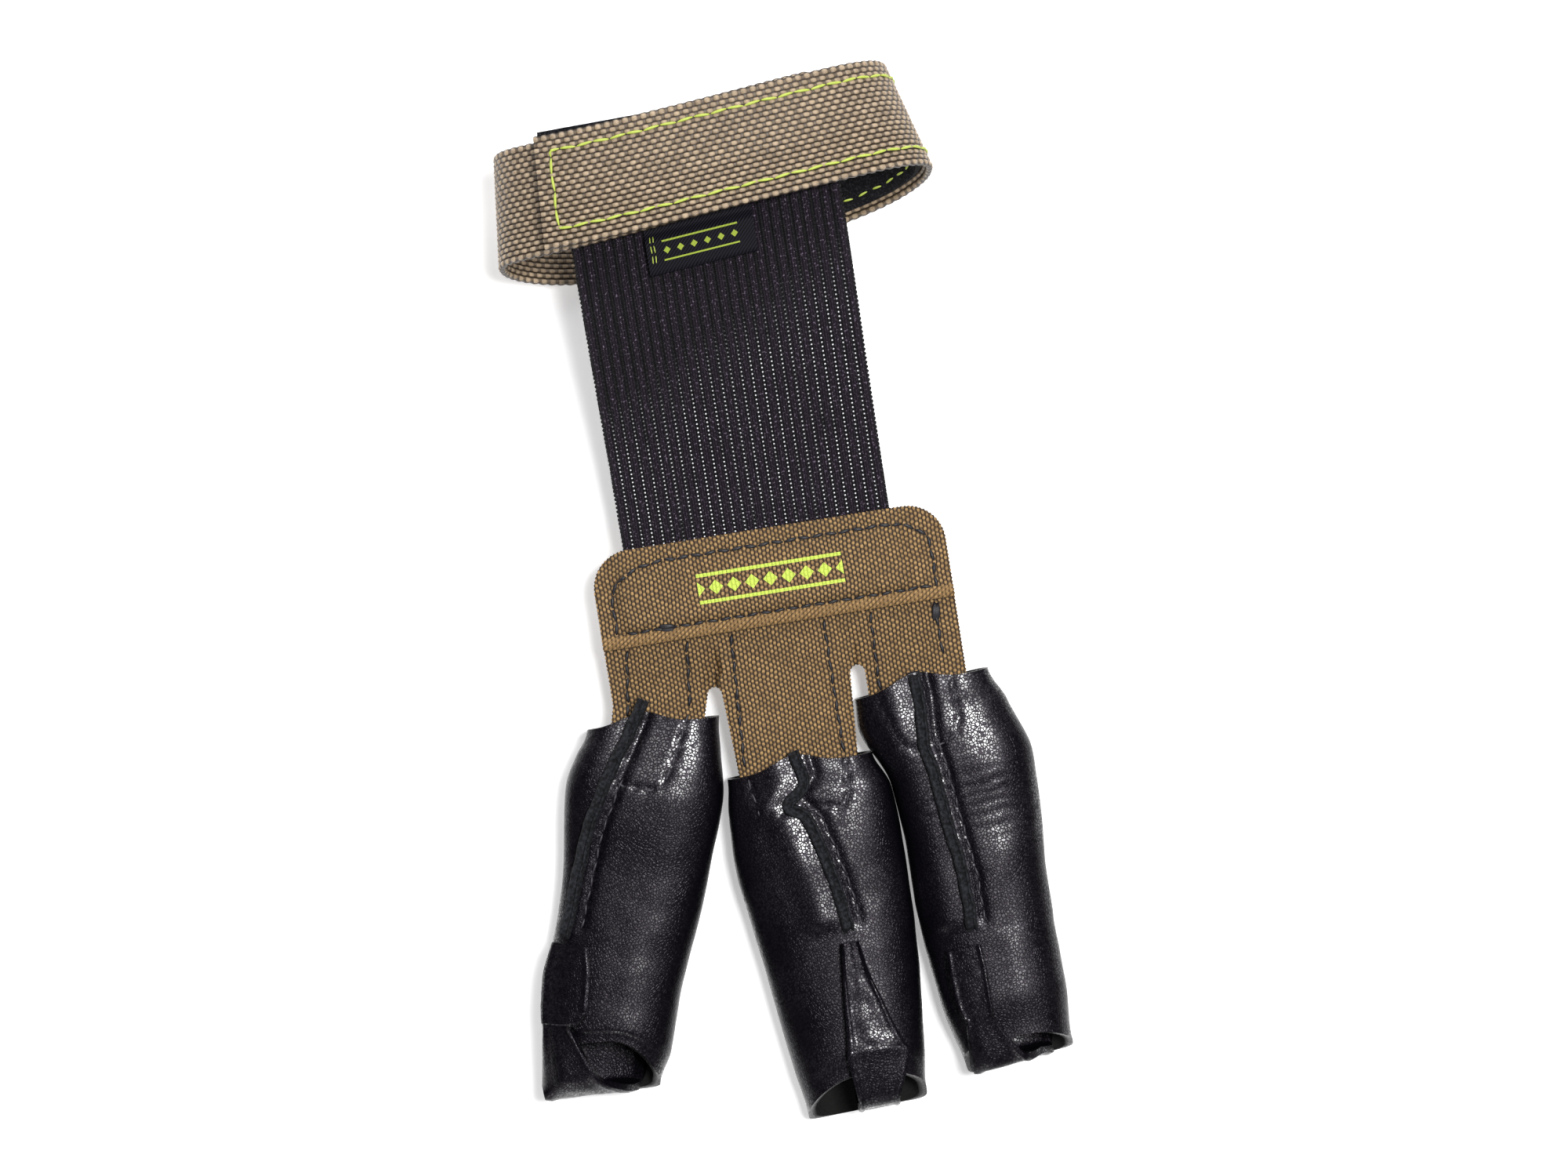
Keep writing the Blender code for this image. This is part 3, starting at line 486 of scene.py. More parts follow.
def sew(name, rows, stitch, space, thread, finish):
    """Rows of stitches in one mesh. A row is its path and the way out of the stuff, point by point."""
    spots, faces = [], []
    for path, outs in rows:
        lengths = path_lengths(path)
        count = max(1, int((lengths[-1] + space) / (stitch + space)))
        for number in range(count):
            at = number * (stitch + space) + (STITCH_SPOTS[:, 0] + 1) / 2 * stitch
            at = np.clip(at, 0, lengths[-1])
            here = along_path(path, lengths, at)
            out = unit(along_path(outs, lengths, at))
            before, after = (along_path(path, lengths, at + way * THREAD_STEP) for way in (-1, 1))
            side = np.cross(out, unit(after - before))
            dip = thread * STITCH_DIPS * STITCH_SPOTS[:, 0] ** 4
            rise = STITCH_SPOTS[:, 2] * thread + thread * STITCH_STANDS - dip
            slant = STITCH_SPOTS[:, 0] * (STITCH_SLANTS if number % 2 else -STITCH_SLANTS)
            aside = (STITCH_SPOTS[:, 1] + slant) * thread
            base = len(spots) * len(STITCH_SPOTS)
            spots.append(here + side * aside[:, None] + out * rise[:, None] + SET_DOWN)
            faces += [tuple(base + index for index in face) for face in STITCH_FACES]
    mesh = bpy.data.meshes.new(name)
    mesh.from_pydata(np.concatenate(spots).tolist(), [], faces)
    mesh.shade_smooth()
    mesh.materials.append(finish)
    piece = bpy.data.objects.new(name, mesh)
    bpy.context.collection.objects.link(piece)
    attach(piece, "root")
    return piece


def thread_finish(name, colour, lighter):
    made, nodes = new_finish(name, 0.5)
    spot = nodes.spot()
    strands = nodes.noise(spot, 2600.0, 1.0)
    nodes.feed("Base Color", nodes.blend(strands, colour, lighter))
    nodes.raised(strands, 0.06 * MM, 0.6)
    return made


lime_thread = thread_finish("lime_thread", (0.34, 0.42, 0.035), (0.52, 0.62, 0.12))
black_thread = thread_finish("black_thread", (0.002, 0.002, 0.003), (0.014, 0.012, 0.017))
seam_thread = thread_finish("waxed_black_thread", (0.006, 0.005, 0.008), (0.035, 0.031, 0.042))

# The strap's outer end is sewn through its loop pad: a box of lime thread, 3 mm inside the edges.
SEAM_INSET = 3.0 * MM
LIME_STITCH = 3.1 * MM
THREAD_SUNK = 0.05 * MM
THREAD_PRESSED = 0.28 * MM
PAD_ENDS = 6 * MM
pad_first = math.tau - float(ring_angle(PAD_ENDS))
strap_last = math.tau + float(ring_angle(STRAP_ENDS))


def ring_thread(angle, across, away, step):
    """A row's path this far from the webbing's middle, and the way out, found by a step."""
    out = overlap_lift(angle) + away
    row = ring_place(angle, across, out)
    return row, unit(ring_place(angle, across, out + step) - row)


def ring_row(first, last, across, inward):
    """A row of thread along the ring, on the strap's outer face or on the pad's inner one."""
    run = RingRun(first, last)
    angle = run.angle(np.linspace(0, run.length, 160))
    if inward:
        return ring_thread(angle, across, -(STRAP_THICK / 2 + PAD_THICK + GAP), -THREAD_STEP)
    # where the ring stands on the table, the thread is pressed into the webbing
    pressed = THREAD_PRESSED * smooth_step(-2 * np.sin(angle) - 0.6)
    return ring_thread(angle, across, STRAP_THICK / 2 - THREAD_SUNK - pressed, THREAD_STEP)


end_run = RingRun(pad_first, strap_last)
end_angle = float(end_run.angle(end_run.length - SEAM_INSET))
edge = STRAP_WIDTH / 2 - SEAM_INSET
end_row = ring_thread(np.full(30, end_angle), np.linspace(-edge, edge, 30), STRAP_THICK / 2 - THREAD_SUNK,
                      STRAP_THICK / 2 + THREAD_SUNK)
side_rows = [ring_row(pad_first, end_angle, across, False) for across in (-edge, edge)]
box_row = [np.concatenate([low, end, high[::-1]])
           for low, end, high in zip(side_rows[0], end_row, side_rows[1])]
sew("strap_thread", [box_row], LIME_STITCH, 0.02 * MM, 0.27 * MM, lime_thread)


# Loop pad: black pile on the inside of the strap's outer end and on along its back.
PAD_WIDTH = 17.5 * MM
PAD_SKEW = 2.6 * MM
PILE_DEEP = 0.18 * MM


def fuzz(places, scale):
    """Smooth noise over points in space, about -1 to 1."""
    return np.array([noise.noise(Vector(place) * scale) for place in places])


def pad_middle(u, v):
    angle = end_run.angle(v * end_run.length)
    out = overlap_lift(angle) - (STRAP_THICK + PAD_THICK) / 2 - GAP
    shift = PAD_SKEW * smooth_step((v - 0.5) * 2)
    return ring_place(angle, shift + (u - 0.5) * PAD_WIDTH, out)


def pad_relief(u, v, face):
    return PILE_DEEP * (fuzz(points(u * PAD_WIDTH, v * end_run.length, face * 0.01), 1400) - 0.9)


pad = lay_out("loop_pile_pad", 50, 320, two_faced(pad_middle, PAD_THICK, pad_relief),
              (PAD_WIDTH, end_run.length))
pile, nodes = new_finish("black_pile", 0.95)
spot = nodes.spot()
loops = nodes.noise(spot, 2400.0, 3.0)
nodes.feed("Base Color", nodes.blend(nodes.ramp(loops, 0.45, 0.75),
                                     (0.003, 0.003, 0.004), (0.022, 0.021, 0.025)))
nodes.raised(loops, 0.25 * MM, 0.9)
nodes.feed("Specular IOR Level", 0.2)
pad.data.materials.append(pile)
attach(pad, "root")
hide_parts("fastener_pad")
sew("pad_thread", [ring_row(pad_first, end_angle, share, True) for share in (-edge, edge)],
    2.0 * MM, 1.1 * MM, 0.22 * MM, lime_thread)


# Finger stalls' shapes: the panel's tabs, the leather and its seams all follow these tables. The
# columns are shares of each stall's own length, width and height, as in the solids.
LEATHER = 1.5 * MM
UNDERSIDE_SQUARE = 3.4
NEAR_EDGE = 0.97
PANEL_WIDTH = 66 * MM
STALLS = {
    "left": {"place": -0.405, "reach": 12.0 * MM, "aim": -14.7,
             "length": 71 * MM, "width": 30 * MM, "height": 13.4 * MM, "lip_slant": (0.0, 0.70)},
    "middle": {"place": 0.005, "reach": 26.8 * MM, "aim": 2.0,
               "length": 66.5 * MM, "width": 32 * MM, "height": 13.8 * MM, "lip_slant": (0.55, 0.35)},
    "right": {"place": 0.398, "reach": 15.1 * MM, "aim": 4.6,
              "length": 73.5 * MM, "width": 30 * MM, "height": 13.4 * MM, "lip_slant": (0.0, 0.45)},
}
COLUMNS = ("along", "side", "width", "height", "square", "lean", "rake")
SECTIONS = {
    "left": (
        (0.00, 0.040, 0.80, 0.92, 4.0, 0.070, 0.000),
        (0.10, 0.030, 0.88, 0.96, 3.6, 0.040, 0.000),
        (0.23, 0.028, 0.975, 1.00, 3.0, 0.000, 0.000),
        (0.44, 0.022, 0.91, 0.98, 2.6, 0.000, 0.000),
        (0.58, 0.000, 0.870, 0.98, 2.5, 0.000, 0.000),
        (0.61, -0.010, 0.865, 0.98, 2.5, 0.000, 0.000),
        (0.755, -0.045, 0.84, 1.00, 2.5, 0.000, 0.010),
        (0.90, -0.050, 0.82, 1.02, 2.6, 0.030, 0.080),
        (1.00, -0.055, 0.73, 0.98, 2.8, 0.065, 0.160),
    ),
    "middle": (
        (0.00, -0.030, 0.87, 0.92, 4.4, 0.000, 0.000),
        (0.10, -0.010, 0.97, 0.98, 3.6, 0.000, 0.000),
        (0.24, -0.014, 1.00, 1.00, 2.9, 0.000, 0.000),
        (0.42, -0.008, 0.96, 0.98, 2.6, 0.000, 0.000),
        (0.58, -0.005, 0.89, 0.98, 2.5, 0.000, 0.000),
        (0.74, -0.005, 0.82, 1.00, 2.5, 0.000, 0.010),
        (0.87, -0.005, 0.77, 1.02, 2.6, 0.000, 0.060),
        (1.00, -0.008, 0.71, 0.98, 2.8, 0.000, 0.125),
    ),
    "right": (
        (0.00, -0.055, 0.86, 0.92, 4.0, 0.000, 0.000),
        (0.09, -0.030, 0.95, 0.97, 3.5, 0.000, 0.000),
        (0.23, 0.060, 0.905, 1.00, 3.0, 0.000, 0.000),
        (0.36, 0.047, 0.873, 0.98, 2.7, 0.000, 0.000),
        (0.55, -0.002, 0.850, 0.98, 2.5, 0.000, 0.000),
        (0.64, -0.010, 0.83, 0.99, 2.5, 0.000, 0.000),
        (0.67, -0.015, 0.82, 1.00, 2.5, 0.000, 0.010),
        (0.86, -0.015, 0.77, 1.02, 2.6, 0.000, 0.050),
        (1.00, -0.010, 0.68, 0.98, 2.8, 0.010, 0.085),
    ),
}


def bulge(part, square):
    """How high, of 1, a rounded section stands at a share of its half width."""
    part = np.minimum(np.abs(part), NEAR_EDGE)
    return (1 - part ** square) ** (1 / square)


def through_rows(rows, at):
    """The table's columns on a smooth curve that neither overshoots its rows nor dips between them."""
    rows = np.array(rows)
    places = rows[:, 0]
    slopes = np.zeros_like(rows)
    steps = np.diff(rows, axis=0) / np.diff(places)[:, None]
    product = steps[:-1] * steps[1:]
    total = steps[:-1] + steps[1:]
    slopes[1:-1] = np.where(product > 0, 2 * product / np.where(total == 0, 1, total), 0)
    index = np.clip(np.searchsorted(places, at, side="right") - 1, 0, len(places) - 2)
    wide = (places[index + 1] - places[index])[:, None]
    t = ((at - places[index])[:, None]) / wide
    return (rows[index] * (2 * t ** 3 - 3 * t ** 2 + 1) + slopes[index] * wide * (t ** 3 - 2 * t ** 2 + t)
            + rows[index + 1] * (3 * t ** 2 - 2 * t ** 3) + slopes[index + 1] * wide * (t ** 3 - t ** 2))


class Stall:
    """A finger stall's place and sections, and the points on its walls."""

    def __init__(self, name):
        size = STALLS[name]
        self.name = name
        self.length, self.width, self.height = size["length"], size["width"], size["height"]
        self.lip_slant = size["lip_slant"]
        aim = math.radians(size["aim"])
        self.forward = np.array([math.sin(aim), -math.cos(aim), 0.0])
        self.sideways = np.array([math.cos(aim), math.sin(aim), 0.0])
        self.root = np.array([PANEL_OFF_CENTRE + size["place"] * PANEL_WIDTH, -size["reach"], 0.0])
        self.shares = np.linspace(0, 1, 401)
        self.table = through_rows(SECTIONS[name], self.shares)

    def read(self, share):
        values = [np.interp(share, self.shares, self.table[:, i]) for i in range(1, len(COLUMNS))]
        return dict(zip(COLUMNS[1:], values))

    def put(self, share, side, height):
        """World place of a spot in the section at a share of the length, with its lean and rake."""
        row = self.read(share)
        aside = side / (row["width"] * self.width / 2)
        left, right = self.lip_slant
        rake = row["rake"] * (1 - np.where(side > 0, right, left) * aside ** 2)
        along = share * self.length + row["lean"] * self.length * (1 - aside) / 2
        along = along - rake * self.length * smooth_step(height / (row["height"] * self.height))
        sideways = side + row["side"] * self.width
        flat = self.root + along[..., None] * self.forward + sideways[..., None] * self.sideways
        flat[..., 2] = height
        return flat

    def wall(self, share, angle, outward):
        """A point of the wall: angle 0 is the right edge, a quarter turn the nail side."""
        row = self.read(share)
        half_width = row["width"] * self.width / 2 + outward
        half_height = row["height"] * self.height / 2 + outward
        square = np.where(np.sin(angle) > 0, row["square"], np.maximum(row["square"], UNDERSIDE_SQUARE))
        side = half_width * signed_power(np.cos(angle), 2 / square)
        up = half_height * signed_power(np.sin(angle), 2 / square)
        return side, up + row["height"] * self.height / 2

    def rise(self, share, side, outward):
        """The nail side's height at a length to the side of the section's middle."""
        row = self.read(share)
        half_width = row["width"] * self.width / 2 + outward
        half_height = row["height"] * self.height / 2
        return half_height + (half_height + outward) * bulge(side / half_width, row["square"])

    def locate(self, x, y):
        """Lengths along and to the side of the stall's own line."""
        offset = points(x, y, 0.0) - self.root
        return offset @ self.forward, offset @ self.sideways

    def over(self, along, sideways, outward):
        """World place on the nail side, from lengths along and beside the stall's own line."""
        share = np.clip(along / self.length, 0, 1)
        side = sideways - self.read(share)["side"] * self.width
        height = self.rise(share, side, outward)
        flat = self.root + along[..., None] * self.forward + sideways[..., None] * self.sideways
        flat[..., 2] = height
        return flat


stalls = {name: Stall(name) for name in STALLS}


# Elastic band: 50 mm black webbing with ribs lengthways and knotted edges, sewn between panel and
# yoke at the fingers' end and under the strap at the wrist. Its lower part is stretched open.
ELASTIC_WIDTH = 50 * MM
ELASTIC_THICK = 1.2 * MM
ELASTIC_TUCK = 13.5 * MM
ELASTIC_TOP_MARGIN = 1.5 * MM
ELASTIC_RISES = 1 * MM
LABEL_THICK = 0.5 * MM
PANEL_THICK = 1.0 * MM
PANEL_HEIGHT = 10.6 * MM
PANEL_ARCH = 1.2 * MM
TAB_CLEAR = 0.6 * MM
TAB_SETTLES = 2 * MM
UNDER_STRAP = STRAP_THICK / 2 + 2 * GAP + LABEL_THICK + ELASTIC_THICK / 2
ELASTIC_LONG = 92 * MM
RIB = ELASTIC_WIDTH / 26
RIB_DEEP = 0.26 * MM
ROW_DEEP = 0.05 * MM
EDGE_KNOT = 0.8 * MM
KNOT_OUT = 0.30 * MM
KNOT_EDGE = 0.015
PINHOLE = (0.19 * MM, 0.08 * MM)
OPEN_SLANT = -0.48
OPEN_FROM = (43 * MM, 27 * MM)


def strap_edge(x):
    lower = ring_place(ring_angle(x - RING_OFF_CENTRE), -STRAP_WIDTH / 2, 0.0)
    return lower[..., 1] - (lower[..., 0] - x) * math.tan(RING_TURNED), lower[..., 2]


def strap_level(x, y):
    edge_y, _ = strap_edge(x)
    across = np.clip(y - edge_y, 0, STRAP_WIDTH) - STRAP_WIDTH / 2
    side = x - RING_OFF_CENTRE + math.tan(RING_TURNED) * across
    half_width = (RING_WIDTH - STRAP_THICK) / 2 - RING_FLARE * across / (STRAP_WIDTH / 2)
    angle = np.arccos(signed_power(side / half_width, RING_ROUNDNESS / 2))
    return ring_place(angle, across, 0.0)[..., 2]


def panel_level(x, y):
    """Height of the panel's middle, which follows the stalls' nail side into their mouths."""
    share = (x - PANEL_OFF_CENTRE) / (PANEL_WIDTH / 2)
    level = PANEL_HEIGHT + PANEL_ARCH * (1 - share * share) * smooth_step(1 + y / YOKE_LENGTH)
    best, inner, settled = np.full(np.shape(x), 9.0), level, np.full(np.shape(x), -1.0)
    for stall in stalls.values():
        along, sideways = stall.locate(x, y)
        closer = np.abs(sideways) < best
        best = np.where(closer, np.abs(sideways), best)
        at = np.clip(along / stall.length, 0, 1)
        lifted = stall.rise(at, sideways - stall.read(at)["side"] * stall.width, -LEATHER)
        inner = np.where(closer, lifted - TAB_CLEAR - PANEL_THICK / 2, inner)
        settled = np.where(closer, stall.root[1] + TAB_SETTLES, settled)
    return mix(level, inner, smooth_step(y / settled))


def elastic_level(x, y):
    low = panel_level(x, np.minimum(y, YOKE_LENGTH)) + PANEL_THICK / 2 + GAP + ELASTIC_THICK / 2
    edge_y, edge_z = strap_edge(x)
    start = YOKE_LENGTH + ELASTIC_RISES
    risen = mix(low, edge_z - UNDER_STRAP, smooth_step((y - start) / (edge_y - start)))
    return np.where(y > edge_y, strap_level(x, y) - UNDER_STRAP, risen)


def elastic_middle(u, v):
    x = ELASTIC_WIDTH * (u - 0.5)
    edge_y, _ = strap_edge(x)
    y = mix(YOKE_LENGTH - ELASTIC_TUCK, edge_y + STRAP_WIDTH - ELASTIC_TOP_MARGIN, v)
    knots = KNOT_OUT * (np.abs(np.sin(np.pi * y / EDGE_KNOT)) - 0.5)
    at_edge = smooth_step((np.abs(u - 0.5) - 0.5) / KNOT_EDGE + 1)
    return points(x + np.sign(x) * knots * at_edge, y, elastic_level(x, y))


def elastic_relief(u, v, face):
    ribs = np.abs(np.sin(np.pi * (u - 0.5) * ELASTIC_WIDTH / RIB))
    fine = np.abs(np.sin(np.pi * v * ELASTIC_LONG / EDGE_KNOT))
    return RIB_DEEP * (ribs ** 0.7 - 1) - ROW_DEEP * fine


elastic = lay_out("ribbed_elastic", 150, 230, two_faced(elastic_middle, ELASTIC_THICK, elastic_relief),
                  (ELASTIC_WIDTH, ELASTIC_LONG))
ribbed, nodes = new_finish("black_elastic", 0.7)
cloth = nodes.spot("UV")
bead, yarn = woven(nodes, cloth, EDGE_KNOT, 0.5 * MM)
axes = nodes.split(cloth)
off_rib = nodes.math("PINGPONG", axes[0], RIB / 2)
off_row = nodes.math("PINGPONG", axes[1], EDGE_KNOT / 2)
far = nodes.plus(nodes.math("POWER", off_rib, 2.0), nodes.math("POWER", off_row, 2.0))
pinhole = nodes.ramp(nodes.math("SQRT", far), *PINHOLE)
# the band is stretched open below a slanting line, and there pale dots are painted where the lit table
# would show through its pinholes
open_low = nodes.ramp(nodes.math("MULTIPLY_ADD", axes[0], OPEN_SLANT, axes[1]), *OPEN_FROM)
uneven = nodes.ramp(nodes.noise(cloth, 210.0), 0.20, 0.55)
painted_see_through = nodes.times(pinhole, nodes.times(open_low, uneven))
# painted shade: the elastic is darker in the grooves between ribs and between the weave's beads, and
# lighter on their tops
ridge_top = nodes.ramp(off_rib, 0.0, RIB / 2)
black = nodes.blend(bead, (0.0004, 0.0002, 0.0008), (0.016, 0.008, 0.020))
black = nodes.blend(ridge_top, (0.0006, 0.0004, 0.0010), black)
# painted highlights: pale flecks on the rib tops only
painted_rib_highlights = nodes.times(nodes.ramp(nodes.noise(cloth, 2300.0, 1.0), 0.60, 0.70), nodes.times(ridge_top, 0.7))
black = nodes.blend(painted_rib_highlights, black, (0.19, 0.15, 0.21))
nodes.feed("Base Color", nodes.blend(painted_see_through, black, (0.80, 0.80, 0.84)))
nodes.raised(nodes.math("MULTIPLY_ADD", nodes.noise(cloth, 1700.0), 0.9, bead), 0.30 * MM, 0.9)
nodes.feed("Specular IOR Level", 0.25)
elastic.data.materials.append(ribbed)
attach(elastic, "root")
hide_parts("elastic_band")


# Woven tag: a fine black ribbon folded under the strap's lower edge, with a plain lime woven band
# and two lime threads at its left fold.
LABEL_WIDTH = 20 * MM
LABEL_SHOWS = 7.6 * MM
LABEL_TUCK = 4.5 * MM
LABEL_SLIT = 0.35 * MM
LABEL_OFF_CENTRE = -1.6 * MM
LABEL_LOWER_ENDS = 0.42
TAG_ROWS = (0.045, 0.075)
TAG_ROWS_FROM = LABEL_TUCK + 0.8 * MM
TAG_ROWS_TO = LABEL_TUCK + 6.8 * MM
LABEL_FIRST_FOLD = 0.3
WEAVE_FINENESS = 9000.0
BAND_AT = 4.0 * MM
TAG_BAND = {"middle": LABEL_WIDTH / 2, "half_long": 7.0 * MM, "line": (1.7 * MM, 0.15 * MM),
            "repeat": 2.5 * MM, "starts": 0.0, "lozenge": 0.66 * MM}

leaves = LABEL_THICK + LABEL_SLIT
label_out = LABEL_SHOWS - leaves / 2
# the tag's middle from its sewn end to its free one: forward of the strap's edge, and lift
turns = np.radians(np.linspace(0, 180, 13))
slope = np.linspace(0, 1, 8)[1:]
label_path = np.concatenate([
    np.stack([np.linspace(-LABEL_TUCK, 0, 8), np.zeros(8)], axis=-1),
    np.stack([np.linspace(0, LABEL_FIRST_FOLD, 8)[1:] * label_out, smooth_step(slope) * leaves], axis=-1),
    np.stack([np.linspace(LABEL_FIRST_FOLD, 1, 12)[1:] * label_out, np.full(11, leaves)], axis=-1),
    np.stack([label_out + leaves / 2 * np.sin(turns), leaves / 2 * (1 + np.cos(turns))], axis=-1)[1:],
    np.stack([np.linspace(1, LABEL_LOWER_ENDS, 8)[1:] * label_out, np.zeros(7)], axis=-1)])
label_lengths = path_lengths(label_path)


def label_middle(u, v):
    forward, lift = along_path(label_path, label_lengths, v * label_lengths[-1]).T
    x = LABEL_OFF_CENTRE + LABEL_WIDTH * (u - 0.5)
    edge_y, _ = strap_edge(x)
    clear = ELASTIC_THICK / 2 + GAP + LABEL_THICK / 2
    return points(x, edge_y - forward, elastic_level(x, edge_y - forward) + clear + lift)


label = lay_out("folded_tag", 60, 90, two_faced(label_middle, LABEL_THICK, lambda u, v, face: 0 * u),
                (LABEL_WIDTH, label_lengths[-1]))


def lozenge_band(nodes, along, off_band, middle, half_long, line, repeat, starts, lozenge):
    """1 on a row of lozenges between two lines, as far as half its length each way."""
    within = nodes.below(nodes.off(along, middle), half_long)
    lines = nodes.below(nodes.off(off_band, line[0]), line[1])
    cell = nodes.math("FRACT", nodes.plus(nodes.math("DIVIDE", along, repeat), starts))
    off_cell = nodes.times(nodes.off(cell, 0.5), repeat)
    row = nodes.below(nodes.plus(off_cell, off_band), lozenge)
    return nodes.times(within, nodes.math("MAXIMUM", lines, row))


satin, nodes = new_finish("black_satin_tag", 0.6)
nodes.feed("Specular IOR Level", 0.1)
axes = nodes.split(nodes.spot("UV"))
fine_weave = nodes.math("SINE", nodes.times(nodes.plus(axes[0], axes[1]), WEAVE_FINENESS))
band = lozenge_band(nodes, axes[0], nodes.off(axes[1], LABEL_TUCK + BAND_AT), **TAG_BAND)
woven_in = nodes.times(band, nodes.inner())
black = nodes.blend(nodes.ramp(fine_weave, -1, 1), (0.0005, 0.0005, 0.001), (0.010, 0.009, 0.015))
nodes.feed("Base Color", nodes.blend(woven_in, black, (0.30, 0.38, 0.05)))
nodes.raised(nodes.plus(fine_weave, nodes.times(woven_in, 2.0)), 0.04 * MM, 0.7)
label.data.materials.append(satin)
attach(label, "root")
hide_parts("label_loop")
tag_at = np.linspace(TAG_ROWS_FROM, TAG_ROWS_TO, 20) / label_lengths[-1]
tag_rows = []
for share in TAG_ROWS:
    tag_path = label_middle(np.full(20, share), tag_at) + np.array([0, 0, LABEL_THICK / 2 - 0.02 * MM])
    tag_rows.append((tag_path, np.tile([0.0, 0.0, 1.0], (20, 1))))
sew("tag_thread", tag_rows, 1.5 * MM, 0.35 * MM, 0.11 * MM, lime_thread)


# Back panel and yoke: brown coarse nylon cloth. The panel's three tabs run on into the stalls, and
# the yoke covers the elastic's end, with its hem folded under and a seam all round.
YOKE_THICK = 1.0 * MM
YOKE_EASE = 0.5 * MM
YOKE_STEP = 2.4 * MM
HEM_LENGTH = 2.2 * MM
HEM_THICK = 0.7 * MM
HEM_EDGE = 0.12
PANEL_CORNER = 7 * MM
SLOT_WIDTH = 2.9 * MM
SLOT_TOP = 9.8 * MM
SLOT_PLACES = (-0.212, 0.197)
TAB_TUCK = 12.5 * MM
TAB_MOUTH_FILL = 0.90
TAB_END_FILL = 0.76
CLOTH_CELL = 0.9 * MM
YARN_PITCH = 1.0 * MM
YARN_ROW = 0.72 * MM
FRAY = 0.14 * MM
HEM_TWIST = 1.15 * MM
CLOTH_WANDER = (0.75 * MM, 0.75 * MM, 0.0)
BROWN = ((0.150, 0.078, 0.022), (0.340, 0.200, 0.072))
# painted highlight on the yarns over each bead, and painted shade in the gaps between beads
BROWN_GLINT = (0.62, 0.410, 0.180)
BROWN_SHADED_GAPS = ((0.010, 0.005, 0.002), (0.035, 0.017, 0.006))
# the hem's lighter band, crossed by dark diagonal lines of painted shade standing in for the grooves of a
# twisted fold
HEM_SHADED_ROPE = ((0.050, 0.026, 0.009), (0.38, 0.220, 0.078))
PRINT_AT = (1.2 * MM, 8.6 * MM)
PRINT_BAND = {"middle": 0.0, "half_long": 13.6 * MM, "line": (2.5 * MM, 0.32 * MM),
              "repeat": 3.4 * MM, "starts": 0.5, "lozenge": 1.35 * MM}
PRINT_LIME = (0.52, 0.66, 0.085)


def arc(centre_x, centre_y, radius, first, last):
    angles = np.radians(np.linspace(first, last, 13))
    return [(centre_x + radius * math.cos(a), centre_y + radius * math.sin(a)) for a in angles]


def tab_corners(stall, left_x, right_x):
    """A tab's outline from its left edge at the mouth, down into the stall and back up."""
    spots = []
    for lengthways, fill in ((0.0, TAB_MOUTH_FILL), (TAB_TUCK, TAB_END_FILL)):
        row = stall.read(lengthways / stall.length)
        half_width = row["width"] * stall.width / 2 - LEATHER
        centre = row["side"] * stall.width
        for way, x in ((-1, left_x), (1, right_x)):
            across = (x - stall.root[0]) / stall.sideways[0] - centre
            across = min(way * across, fill * half_width) * way + centre
            spot = stall.root + stall.forward * lengthways + stall.sideways * across
            spots.append((spot[0], spot[1]))
    return [spots[0], spots[2], spots[3], spots[1]]


def fine_edge(outline):
    """The outline with a point every yarn, each moved a little as cut cloth frays."""
    closed = np.array(list(outline) + [outline[0]])
    lengths = path_lengths(closed)
    at = np.linspace(0, lengths[-1], int(lengths[-1] / (YARN_ROW / 2)), endpoint=False)
    spots = along_path(closed, lengths, at)
    ahead = unit(np.roll(spots, -1, axis=0) - np.roll(spots, 1, axis=0))
    ways = np.where(np.arange(len(spots)) % 2 == 0, FRAY, -FRAY * 0.4)
    return spots + np.stack([-ahead[:, 1], ahead[:, 0]], axis=-1) * ways[:, None]


def cut_cloth(name, outline, lower, upper):
    """Cloth cut to an outline, crossed by fine lines, and given its two faces."""
    edge_spots = fine_edge(outline)
    bpy.ops.object.select_all(action="DESELECT")
    bpy.ops.mesh.primitive_circle_add(vertices=len(edge_spots), radius=1, fill_type="NGON")
    piece = bpy.context.object
    piece.name = name
    piece.data.name = name
    flat = np.column_stack([edge_spots, np.zeros(len(edge_spots))])
    piece.data.vertices.foreach_set("co", flat.ravel())
    piece.data.update()
    bpy.ops.object.mode_set(mode="EDIT")
    for axis in (0, 1):
        low, high = edge_spots[:, axis].min(), edge_spots[:, axis].max()
        count = round((high - low) / CLOTH_CELL)
        way = (1 - axis, axis, 0)
        for line in range(1, count):
            at = mix(low, high, line / count)
            bpy.ops.mesh.select_all(action="SELECT")
            bpy.ops.mesh.bisect(plane_co=(way[0] * at, way[1] * at, 0), plane_no=way, threshold=0.01 * MM)
    bpy.ops.mesh.select_all(action="SELECT")
    bpy.ops.mesh.extrude_region_move(TRANSFORM_OT_translate={"value": (0, 0, 1)})
    bpy.ops.object.mode_set(mode="OBJECT")
    mesh = piece.data
    spots = np.empty(len(mesh.vertices) * 3)
    mesh.vertices.foreach_get("co", spots)
    spots = spots.reshape(-1, 3)
    x, y = spots[:, 0], spots[:, 1]
    spots[:, 2] = np.where(spots[:, 2] > 0.5, upper(x, y), lower(x, y))
    mesh.vertices.foreach_set("co", (spots + SET_DOWN).ravel())
    bpy.ops.object.mode_set(mode="EDIT")
    turn_out(50)
    return piece


def slot_arc(centre_x):
    return arc(centre_x, -SLOT_TOP - SLOT_WIDTH / 2, SLOT_WIDTH / 2, 180, 0)


